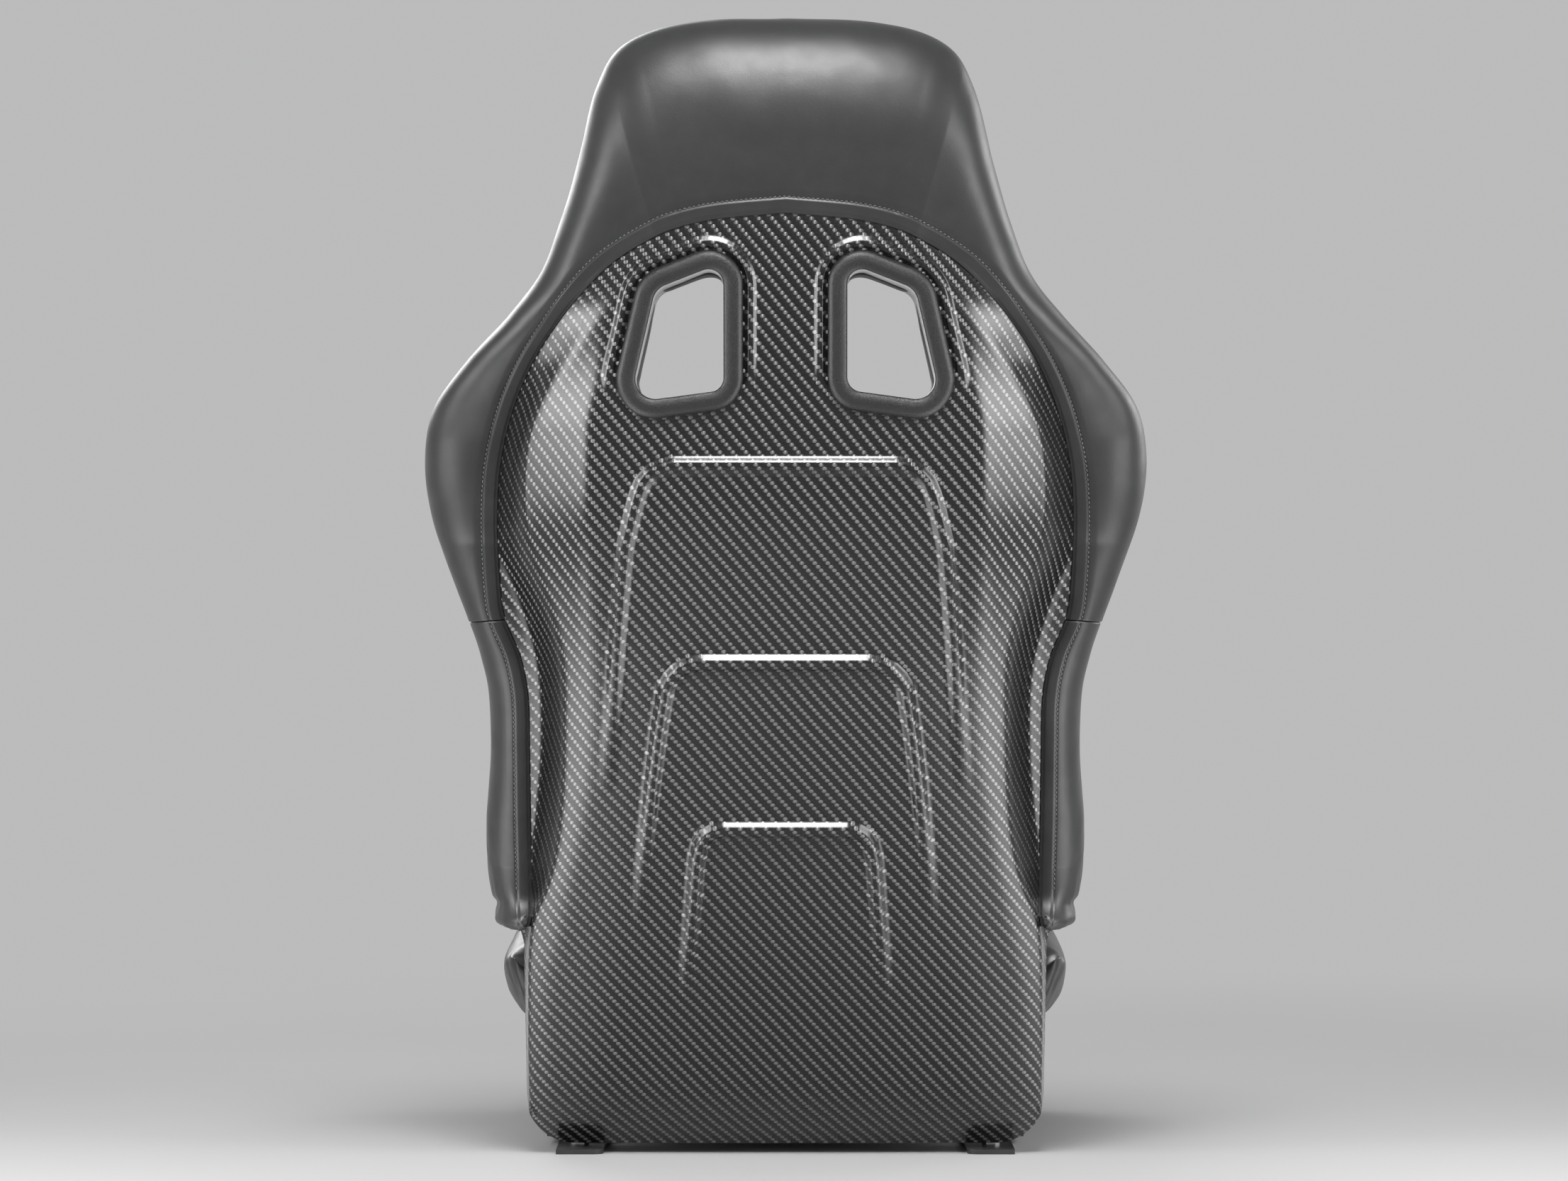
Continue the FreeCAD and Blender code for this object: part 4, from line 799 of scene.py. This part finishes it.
def rolled_ends(rows, travel, radius, first=True, last=True):
    """Draws the rows in near an end, as leather turned in at a seam."""
    result = rows.copy()
    normal = row_normals(rows)
    for index in range(len(rows)):
        near = min(travel[index] if first else math.inf, travel[-1] - travel[index] if last else math.inf)
        if near < radius:
            fall = radius * (1 - math.sqrt(1 - (1 - near / radius) ** 2))
            result[index] -= normal[index] * fall
    return result


def hem_travel(stations):
    """Way along the outer edge of the leather at each station."""
    spots = np.array([along(OUTER, abs(t)) * (math.copysign(1, t), 1) for t in stations])
    return np.concatenate([[0], np.cumsum(np.linalg.norm(np.diff(spots, axis=0), axis=1))])


STITCH_PITCH = 3.8
STITCH_LENGTH = 2.7
STITCH_SLANT = 0.25
STITCH_DIP = 1.9
THREAD_RADIUS = 0.55
THREAD_SINK = 0.12
THREAD_SIDES = 6
THREAD_TAPER = np.array([0.45, 0.95, 1.0, 0.95, 0.45])


def thread_run(path, outward, points, faces):
    """Adds stitches along a path of points in millimetres; each dips into the leather at its ends."""
    path = np.asarray(path, float)
    run = np.concatenate([[0], np.cumsum(np.linalg.norm(np.diff(path, axis=0), axis=1))])
    rings, sides = len(THREAD_TAPER), THREAD_SIDES
    rise = THREAD_RADIUS * (1.0 - STITCH_DIP * np.linspace(-1, 1, rings) ** 4) - THREAD_SINK
    thick = THREAD_RADIUS * THREAD_TAPER
    for index in range(int(run[-1] / STITCH_PITCH)):
        start = (index + 0.5) * STITCH_PITCH - STITCH_LENGTH / 2
        spots = np.linspace(start, start + STITCH_LENGTH, rings)
        middle = np.stack([np.interp(spots, run, path[:, k]) for k in range(3)], -1)
        up = np.stack([np.interp(spots, run, outward[:, k]) for k in range(3)], -1)
        up /= np.linalg.norm(up, axis=1, keepdims=True)
        way = middle[-1] - middle[0]
        way /= np.linalg.norm(way)
        slant = np.cross(up[2], way) * STITCH_SLANT * (spots - spots.mean())[:, None] / STITCH_LENGTH
        side = np.cross(up, way)
        offset = len(points)
        for r in range(rings):
            for k in range(sides):
                a = 2 * math.pi * k / sides
                points.append(middle[r] + slant[r] + up[r] * (rise[r] + thick[r] * math.sin(a))
                              + side[r] * thick[r] * math.cos(a))
        faces += [tuple(q) for q in grid_faces(rings, sides, around=True, offset=offset)]
        faces.append(tuple(offset + k for k in range(sides)))
        faces.append(tuple(offset + (rings - 1) * sides + k for k in reversed(range(sides))))


def sewn(name, runs, body="backrest"):
    """Stitches along several runs, each a path with its outward directions."""
    points, faces = [], []
    for path, outward in runs:
        thread_run(path, outward, points, faces)
    made = mesh_object(name, to_frame(points), faces)
    fix_normals(made)
    dress(made, THREAD)
    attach(made, body)


def hem_lift(runs, puff=0.0):
    """Groove under the hem's stitches, the low welt beside it and the puffed leather past it."""
    groove = -HEM_GROOVE * np.exp(-((runs - STITCH_IN) / 1.0) ** 2)
    welt = HEM_WELT * smoothstep(0.5, 3.0, runs) * (1 - smoothstep(STITCH_IN - 2.5, STITCH_IN - 0.5, runs))
    past = puff * smoothstep(STITCH_IN + 0.5, STITCH_IN + 7, runs) * (1 - smoothstep(30, 60, runs))
    lift = groove + welt + past
    lift[:, :LIP] = 0
    lift[:, -CLOSING:] = 0
    return lift


def free_leather(runs, free_to):
    """1 where the leather can wrinkle, 0 near the hem and the front seam."""
    before, after = FREE_END
    last = runs.max()
    return smoothstep(FREE_FROM, free_to, runs) * (1 - smoothstep(last - before, last - after, runs))


def upper_cover():
    """Leather of the head and shoulders, in one piece from seam to seam."""
    end = SHOULDER_LAST
    turn = np.array([0.01, 0.03, 0.055])
    stations = np.unique(np.concatenate([np.linspace(-end, end, UPPER_ROWS), end - turn, -end + turn]))
    rows, runs = bolster_rows(stations)
    normal = row_normals(rows)
    lift = hem_lift(runs, HEM_PUFF) + crumple(rows, 70.0, 0.9, 3.1) * free_leather(runs, 60)
    rows = rows + normal * lift[..., None]
    rows = rolled_ends(rows, hem_travel(stations), SEAM_TURN)
    sewn("upper_hem_stitches", [(rows[4:-4, STITCH_COLUMN], normal[4:-4, STITCH_COLUMN])])
    return capped(rows, "upper_leather_cover")


cover = upper_cover()
add_soft(cover, LEATHER, "backrest", "bolster_leather", "head_roll", "shoulder_bolster_left",
         "shoulder_bolster_right", fill=0.9)


def torso_cover(side):
    """Leather of one side from the cross seam down to its gathered roll."""
    stations = np.linspace(SHOULDER_LAST, HEM_END, TORSO_ROWS)
    rows, runs = bolster_rows(stations)
    normal = row_normals(rows)
    free = free_leather(runs, 50)
    low = smoothstep(16.2, 18.6, stations)[:, None]
    lift = hem_lift(runs) + crumple(rows, 60.0, 0.8, 9.4) * free
    lift += crumple(rows * (1.0, 1.0, 0.35), 16.0, 2.2, 4.2) * free * low
    rows = rows + normal * lift[..., None]
    travel = hem_travel(stations)
    from_end = travel[-1] - travel
    gather = 3.2 * np.exp(-((from_end - GATHER_AT) / 6.0) ** 2)
    gather -= 2.4 * np.exp(-((from_end - GATHER_NECK) / 4.0) ** 2)
    rows += row_normals(rows) * gather[:, None, None] * free[..., None]
    rows = rolled_ends(rows, travel, END_ROLL, first=False)
    rows = rolled_ends(rows, travel, SEAM_TURN, last=False)
    if side == "right":
        rows[..., 0] *= -1
        normal[..., 0] *= -1
    sewn("torso_hem_stitches_" + side, [(rows[3:-22, STITCH_COLUMN], normal[3:-22, STITCH_COLUMN])])
    return capped(rows, "torso_leather_" + side)


for side in ("left", "right"):
    add_soft(torso_cover(side), LEATHER, "backrest", "bolster_leather", "torso_bolster_" + side, fill=0.9)


# Belt bezels

# Steps out from the opening and up from the shell
BEZEL_PROFILE = [(0.3, -2.0), (0.0, 2.0), (0.1, 5.2), (0.7, 6.1), (1.7, 6.8), (3.4, 7.4), (6.0, 7.9),
                 (9.0, 7.9), (11.6, 7.5), (13.4, 6.5), (14.7, 5.0), (15.3, 3.2), (15.5, 1.4), (15.3, -2.0)]


def make_bezel(side):
    profile, _ = natural_spline(BEZEL_PROFILE, np.linspace(0, 1, 40))
    rows = []
    for out, up in profile:
        outline = rounded_outline(APERTURE, APERTURE_CORNERS, float(out), arc_steps=14, run_step=5.0)
        y = rear_face(outline[:, 0], outline[:, 1]) + up * lean_stretch(outline[:, 1])
        rows.append(np.column_stack([outline[:, 0], y, outline[:, 1]]))
    rows = np.array(rows)
    if side == "right":
        rows[..., 0] *= -1
    count, cols = rows.shape[:2]
    faces = [tuple(q) for q in grid_faces(count, cols, around=True)]
    for c in range(cols):
        n = (c + 1) % cols
        faces.append((n, c, (count - 1) * cols + c, (count - 1) * cols + n))
    made = mesh_object("belt_bezel_ring_" + side, to_frame(rows.reshape(-1, 3)), faces)
    fix_normals(made)
    return made


for side in ("left", "right"):
    ring = make_bezel(side)
    dress(ring, BEZEL)
    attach(ring, "backrest")
    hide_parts("belt_bezel_" + side)


# Pads, cushions and thigh bolsters

def evaluated_mesh(obj):
    graph = bpy.context.evaluated_depsgraph_get()
    return bpy.data.meshes.new_from_object(obj.evaluated_get(graph), depsgraph=graph)


def bake_modifiers(obj):
    mesh = evaluated_mesh(obj)
    obj.modifiers.clear()
    obj.data = mesh


def coordinates(mesh):
    co = np.empty(len(mesh.vertices) * 3)
    mesh.vertices.foreach_get("co", co)
    return co.reshape(-1, 3)


def vertex_normals(mesh):
    out = np.empty(len(mesh.vertices) * 3)
    mesh.vertex_normals.foreach_get("vector", out)
    return out.reshape(-1, 3)


def set_coordinates(mesh, co):
    mesh.vertices.foreach_set("co", np.asarray(co, np.float32).ravel())
    mesh.update()


RELAX_STEPS = 6
CLOTH_STEPS = 20
CLOTH = {"quality": 5, "mass": 0.3, "tension_stiffness": 12, "compression_stiffness": 12,
         "shear_stiffness": 6, "bending_stiffness": 0.4, "use_pressure": True, "uniform_pressure_force": 4.0}


def blow_up(obj, co, cap, held):
    """Inflates a piece as cloth under pressure; cap is how far a point may move, in metres."""
    cloth = obj.modifiers.new("air", "CLOTH")
    for key, value in CLOTH.items():
        setattr(cloth.settings, key, value)
    cloth.settings.effector_weights.gravity = 0
    if held is not None:
        group = obj.vertex_groups.new(name="held")
        for index, weight in enumerate(held(co)):
            if weight > 0:
                group.add([index], float(weight), "REPLACE")
        cloth.settings.vertex_group_mass = "held"
    for step in range(1, CLOTH_STEPS + 1):
        bpy.context.scene.frame_set(step)
    move = coordinates(evaluated_mesh(obj)) - co
    bpy.context.scene.frame_set(1)
    obj.modifiers.clear()
    obj.vertex_groups.clear()
    length = np.linalg.norm(move, axis=1, keepdims=True)
    set_coordinates(obj.data, co + move * np.minimum(1, cap / np.maximum(length, 1e-9)))


def soft_copy(node, name, shrink=0.002, cap=0.008, voxel=0.005, held=None):
    """Padded piece from a node's shape: evened, blown up as cloth, and made finer."""
    obj = bpy.data.objects.new(name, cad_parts[node].data.copy())
    bpy.context.scene.collection.objects.link(obj)
    weld = obj.modifiers.new("weld", "WELD")
    weld.merge_threshold = 0.00002
    even = obj.modifiers.new("even", "REMESH")
    even.mode = "VOXEL"
    even.voxel_size = voxel
    relax = obj.modifiers.new("relax", "SMOOTH")
    relax.factor = 0.5
    relax.iterations = RELAX_STEPS
    bake_modifiers(obj)
    co = coordinates(obj.data) - vertex_normals(obj.data) * shrink
    set_coordinates(obj.data, co)
    blow_up(obj, co, cap, held)
    finer = obj.modifiers.new("finer", "SUBSURF")
    finer.levels = 1
    finer.render_levels = 1
    bake_modifiers(obj)
    obj.data.shade_smooth()
    return obj


def press(obj, amount):
    """Moves the surface in along its normals; amount takes positions in datum millimetres."""
    co = coordinates(obj.data)
    depth = amount(co * 1000 + (0, 0, DATUM))[:, None]
    set_coordinates(obj.data, co - vertex_normals(obj.data) * depth * 0.001)


def groove_at(value, places, width, depth):
    """Depth of sewn channels that run where a coordinate meets given places."""
    total = np.zeros(np.shape(value))
    for place in places:
        total = np.maximum(total, depth * np.exp(-((value - place) / width) ** 2))
    return total


def laid_on(obj, paths, way):
    """Runs of points where lines of sight along a direction first meet a piece."""
    work = bmesh.new()
    work.from_mesh(obj.data)
    tree = BVHTree.FromBMesh(work)
    work.free()
    way = Vector(way)
    runs = []
    for path in paths:
        hits = [tree.ray_cast(Vector(p) - way, way) for p in to_frame(path)]
        hits = [(np.array(spot) * 1000 + (0, 0, DATUM), tuple(normal)) for spot, normal, _, _ in hits if spot]
        if len(hits) > 2:
            runs.append((np.array([h[0] for h in hits]), np.array([h[1] for h in hits])))
    return runs


def straight(start, end, step=4.0):
    """Evenly spaced points from one place to another."""
    start, end = np.array(start, float), np.array(end, float)
    return start + (end - start) * np.linspace(0, 1, int(np.linalg.norm(end - start) / step) + 2)[:, None]


# Sewn channels of the pads: their places, half the width that they span, and their own width and depth
CHANNELS_BACK = [178, 220, 262, 304, 346]
CHANNELS_UPPER = [432, 474, 516, 558, 600]
CHANNEL_HALF = 104.0
CHANNEL_FADE = 6
CROSS_CHANNEL = (3.2, 3.6)
SIDE_CHANNEL = (3.0, 3.4)
STITCH_BESIDE = 6.5
# Name, node, channels, lowest and highest stitch beside them, cap and voxel of each back pad
BACK_PADS = [("lumbar", "lumbar_pad", CHANNELS_BACK, (146, 383), 0.007, 0.005),
             ("upper_back", "upper_back_pad", CHANNELS_UPPER, (393, 612), 0.006, 0.0045)]
HEAD_INSERT = [(90, 790), (97, 845), (82, 886), (-82, 886), (-97, 845), (-90, 790)]
HEAD_INSERT_CORNER = 18.0
HEAD_STITCH_IN = 8.0


def back_channels(places):
    """Depth of the channels in the front face of a back pad."""
    def amount(p):
        x, y, z = p.T
        face = smoothstep(30, 50, forward_flat(z, PAD_BACK) - y)
        inside = 1 - smoothstep(CHANNEL_HALF - CHANNEL_FADE, CHANNEL_HALF, np.abs(x))
        across = groove_at(z, places, *CROSS_CHANNEL) * inside
        along_side = groove_at(np.abs(x), [CHANNEL_HALF], *SIDE_CHANNEL)
        return (across + along_side) * face
    return amount


def back_stitches(obj, places, low, high):
    """One row in each cross channel, and one outside each upright channel."""
    half = CHANNEL_HALF - STITCH_BESIDE
    paths = [straight((-half, 0, z), (half, 0, z)) for z in places]
    outside = CHANNEL_HALF + STITCH_BESIDE
    paths += [straight((way * outside, 0, low), (way * outside, 0, high)) for way in (-1, 1)]
    return laid_on(obj, paths, (0, 1, 0))


for name, node, places, (low, high), cap, voxel in BACK_PADS:
    pad = soft_copy(node, name + "_cushion", cap=cap, voxel=voxel)
    press(pad, back_channels(places))
    add_soft(pad, INSERT, "backrest", "insert_leather", node)
    sewn(name + "_stitches", back_stitches(pad, places, low, high))
insert = soft_copy("head_insert", "head_cushion", cap=0.006, voxel=0.004)
add_soft(insert, INSERT, "backrest", "insert_leather", "head_insert")
outline = rounded_outline(HEAD_INSERT, [HEAD_INSERT_CORNER] * len(HEAD_INSERT), -HEAD_STITCH_IN)
ring = [(x, 0, z) for x, z in outline] + [(outline[0][0], 0, outline[0][1])]
sewn("head_cushion_stitches", laid_on(insert, [ring], (0, 1, 0)))

CHANNELS_SEAT = [-196, -152, -108, -64, -20, 24, 68]
SEAT_CHANNEL_HALF = 112
SEAT_STITCH_REACH = (-215, 84)
SEAT_HELD_BELOW = 0.088
NOSE_STITCH_END = 14


def seat_channels(p):
    """Depth of the channels in the top of the cushion."""
    x, y, z = p.T
    top = smoothstep(118, 136, z)
    inside = 1 - smoothstep(SEAT_CHANNEL_HALF - 4, SEAT_CHANNEL_HALF + 2, np.abs(x))
    across = groove_at(y, CHANNELS_SEAT, 3.4, 4.0) * inside
    return (across + groove_at(np.abs(x), [SEAT_CHANNEL_HALF], *CROSS_CHANNEL)) * top


seat = soft_copy("cushion", "seat_cushion", shrink=0.003, cap=0.012,
                 held=lambda co: (co[:, 2] < SEAT_HELD_BELOW).astype(float))
press(seat, seat_channels)
add_soft(seat, INSERT, "base", "insert_leather", "cushion")
across = SEAT_CHANNEL_HALF - 7
beside = SEAT_CHANNEL_HALF + 6
front, rear = SEAT_STITCH_REACH
seat_paths = [straight((-across, y, 0), (across, y, 0)) for y in CHANNELS_SEAT]
seat_paths += [straight((way * beside, front, 0), (way * beside, rear, 0)) for way in (-1, 1)]
sewn("seat_cushion_stitches", laid_on(seat, seat_paths, (0, 0, -1)), "base")
nose = soft_copy("cushion_nose", "seat_nose_cushion", shrink=0.002, cap=0.008)
add_soft(nose, LEATHER, "base", "bolster_leather", "cushion_nose")
nose_low, nose_high = (np.array(corner) * 1000 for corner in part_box("cushion_nose"))
seam_y = nose_high[1] - STITCH_BESIDE
seam = straight((nose_low[0] + NOSE_STITCH_END, seam_y, 0), (nose_high[0] - NOSE_STITCH_END, seam_y, 0))
sewn("seat_nose_stitches", laid_on(nose, [seam], (0, 0, -1)), "base")


def thigh_wrinkles(p):
    """Folds at the rear end of a thigh bolster, and slow waves elsewhere."""
    _, y, z = p.T
    rear = smoothstep(70, 118, y) * smoothstep(118, 150, z)
    folds = crumple(p * (0.5, 1.0, 0.6), 15.0, 1.6, 2.0)
    return folds * rear + crumple(p, 45.0, 0.7, 5.0)


for side in ("left", "right"):
    thigh = soft_copy("thigh_bolster_" + side, "thigh_cushion_" + side, shrink=0.002, cap=0.007)
    press(thigh, thigh_wrinkles)
    add_soft(thigh, LEATHER, "base", "bolster_leather", "thigh_bolster_" + side)


# Carried-over nodes

NODE_MATERIALS = {
    LINER: ("belt_liner_left", "belt_liner_right"),
    BEZEL: ("belt_front_bezel_left", "belt_front_bezel_right"),
    COVER: ("side_cover_left", "side_cover_right", "suspension_panel"),
    STEEL: ("back_top_tube", "back_middle_tube", "back_lower_tube", "shell_mounts", "back_upright_left",
            "back_upright_right", "recliner_upper_plate_left", "recliner_upper_plate_right",
            "side_member_left", "side_member_right", "base_front_tube", "base_rear_tube", "seat_pan",
            "release_lever_left", "release_lever_right"),
    ZINC: ("recliner_inner_half_left", "recliner_inner_half_right", "recliner_outer_half_left",
           "recliner_outer_half_right", "release_rod", "release_spring_left", "release_spring_right",
           "weld_nuts"),
    BLACK_SCREW: ("back_recliner_bolts", "base_recliner_bolts", "cover_screws"),
}
for mat, names in NODE_MATERIALS.items():
    for name in names:
        dress(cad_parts[name], mat)


# Stage, light and camera

PALE = (0.5, 0.5, 0.505)
WORLD_DIM = (0.2, 0.2, 0.203)
FLOOR_TONES = (0.39, 0.39, 0.394), (0.41, 0.41, 0.407)
FLOOR_FADE = (0.7, 2.4)
FLOOR_RINGS = [0.0, 1.0, 2.0, 3.0, 4.5, 7.0, 12.0, 24.0, 60.0]
FLOOR_SPOKES = 64
# Name, place, aim, size across and up in metres, and watts; the side lamps stand on both sides
TOP_LAMP = ("overhead_soft", (0, 1.9, 2.35), (0, 0.35, 0.55), (1.1, 1.3), 74)
SIDE_LAMPS = [("strip", (1.05, 1.0, 0.72), (0.15, 0.3, 0.5), (0.6, 1.25), 10.5),
              ("low_strip", (0.65, 0.6, 0.004), (0.65, 0.6, 1.0), (1.0, 0.9), 5.5),
              ("side", (1.5, 0.72, 0.55), (0.15, 0.4, 0.4), (0.6, 1.1), 4.5)]
FRONT_LAMPS = [("front_fill", (1.3, -2.8, 2.0), (0, 0.25, 0.5), (2.4, 2.4), 60),
               ("front_side", (-2.2, -1.6, 1.2), (0, 0.25, 0.5), (1.8, 1.8), 20)]


def seen_rays(tree):
    """1 for camera, glossy and transmission rays, which see the pale background."""
    path = tree.nodes.new("ShaderNodeLightPath")
    value = path.outputs["Is Camera Ray"]
    for name in ("Is Glossy Ray", "Is Transmission Ray"):
        joined = tree.nodes.new("ShaderNodeMath")
        joined.operation = "MAXIMUM"
        tree.links.new(value, joined.inputs[0])
        tree.links.new(path.outputs[name], joined.inputs[1])
        value = joined.outputs[0]
    return value


def make_stage():
    """Round pale floor that fades into an even backdrop."""
    spokes = FLOOR_SPOKES
    points = [(0.0, 0.0, 0.0)]
    faces = []
    for index, radius in enumerate(FLOOR_RINGS[1:]):
        start = len(points)
        for k in range(spokes):
            a = 2 * math.pi * k / spokes
            points.append((radius * math.cos(a), radius * math.sin(a), 0.0))
        for k in range(spokes):
            n = (k + 1) % spokes
            if index == 0:
                faces.append((0, start + k, start + n))
            else:
                faces.append((start - spokes + k, start + k, start + n, start - spokes + n))
    floor = mesh_object("studio_floor", points, faces)
    mat = material("studio_floor_paint", Roughness=0.9)
    g = Graph(mat)
    place = g.node("ShaderNodeTexCoord").outputs["Object"]
    g.link(g.mix(g.noise(place, 3.0), *FLOOR_TONES), g.shader.inputs["Base Color"])
    g.shader.inputs["Specular IOR Level"].default_value = 0.1
    away = g.node("ShaderNodeVectorMath", operation="LENGTH")
    g.link(place, away.inputs[0])
    far = g.ramp(away.outputs["Value"], (*FLOOR_FADE, 0.0, 1.0))
    glow = g.node("ShaderNodeEmission")
    glow.inputs["Color"].default_value = (*PALE, 1)
    mixed = g.node("ShaderNodeMixShader")
    g.link(g.math("MULTIPLY", far, seen_rays(g.tree)), mixed.inputs["Fac"])
    g.link(g.shader.outputs[0], mixed.inputs[1])
    g.link(glow.outputs[0], mixed.inputs[2])
    g.link(mixed.outputs[0], g.tree.nodes["Material Output"].inputs["Surface"])
    dress(floor, mat)


def soften_edges(data):
    """A soft box: brightest in the middle, fading to its edges."""
    data.use_nodes = True
    tree = data.node_tree
    glow = tree.nodes["Emission"]
    spot = tree.nodes.new("ShaderNodeNewGeometry").outputs["Parametric"]
    split = tree.nodes.new("ShaderNodeSeparateXYZ")
    tree.links.new(spot, split.inputs[0])

    def maths(operation, a, b):
        made = tree.nodes.new("ShaderNodeMath")
        made.operation = operation
        for value, socket in zip((a, b), made.inputs):
            if isinstance(value, float):
                socket.default_value = value
            else:
                tree.links.new(value, socket)
        return made.outputs[0]

    hills = [maths("MULTIPLY", split.outputs[axis], maths("SUBTRACT", 1.0, split.outputs[axis]))
             for axis in ("X", "Y")]
    # 36 keeps the mean at 1, because each hill has a mean of a sixth
    even = maths("MULTIPLY", maths("MULTIPLY", hills[0], hills[1]), 36.0)
    tree.links.new(even, glow.inputs["Strength"])


def area_light(name, place, target, size, power):
    """Rectangular soft lamp that the camera doesn't see."""
    data = bpy.data.lights.new(name, "AREA")
    data.energy = power
    data.shape = "RECTANGLE"
    data.size, data.size_y = size
    soften_edges(data)
    obj = bpy.data.objects.new(name, data)
    obj.visible_camera = False
    obj.location = place
    obj.rotation_euler = (Vector(target) - Vector(place)).to_track_quat("-Z", "Y").to_euler()
    bpy.context.scene.collection.objects.link(obj)


def make_lights():
    """Lamps round the seat: above and beside its back, and in front."""
    area_light(*TOP_LAMP)
    for side, way in (("left", 1), ("right", -1)):
        for name, place, target, size, power in SIDE_LAMPS:
            place = (way * place[0], *place[1:])
            target = (way * target[0], *target[1:])
            area_light(side + "_" + name, place, target, size, power)
    for lamp in FRONT_LAMPS:
        area_light(*lamp)


def make_world():
    """Dim even light, with the pale backdrop for the rays that see it."""
    world = bpy.data.worlds.new("studio_air")
    world.use_nodes = True
    tree = world.node_tree
    tree.nodes.clear()
    out = tree.nodes.new("ShaderNodeOutputWorld")
    dim = tree.nodes.new("ShaderNodeBackground")
    pale = tree.nodes.new("ShaderNodeBackground")
    mixed = tree.nodes.new("ShaderNodeMixShader")
    dim.inputs["Color"].default_value = (*WORLD_DIM, 1)
    pale.inputs["Color"].default_value = (*PALE, 1)
    tree.links.new(seen_rays(tree), mixed.inputs["Fac"])
    tree.links.new(dim.outputs[0], mixed.inputs[1])
    tree.links.new(pale.outputs[0], mixed.inputs[2])
    tree.links.new(mixed.outputs[0], out.inputs["Surface"])
    bpy.context.scene.world = world


# The photograph's frame is this wide where the back of the seat stands, this far from the camera, in metres
FRAME_WIDTH = 1.266
CAMERA_AWAY = 5.0
CAMERA_PLACE = (0.0011, 5.35, 0.469)
SENSOR_WIDTH = 36.0


def make_camera():
    """Level view of the back from straight behind."""
    data = bpy.data.cameras.new("photo_view")
    data.sensor_width = SENSOR_WIDTH
    data.lens = SENSOR_WIDTH * CAMERA_AWAY / FRAME_WIDTH
    camera = bpy.data.objects.new("photo_view", data)
    camera.location = CAMERA_PLACE
    camera.rotation_euler = (math.pi / 2, 0, math.pi)
    bpy.context.scene.collection.objects.link(camera)
    bpy.context.scene.camera = camera


make_stage()
make_lights()
make_world()
make_camera()
bpy.context.scene.view_settings.view_transform = "Standard"
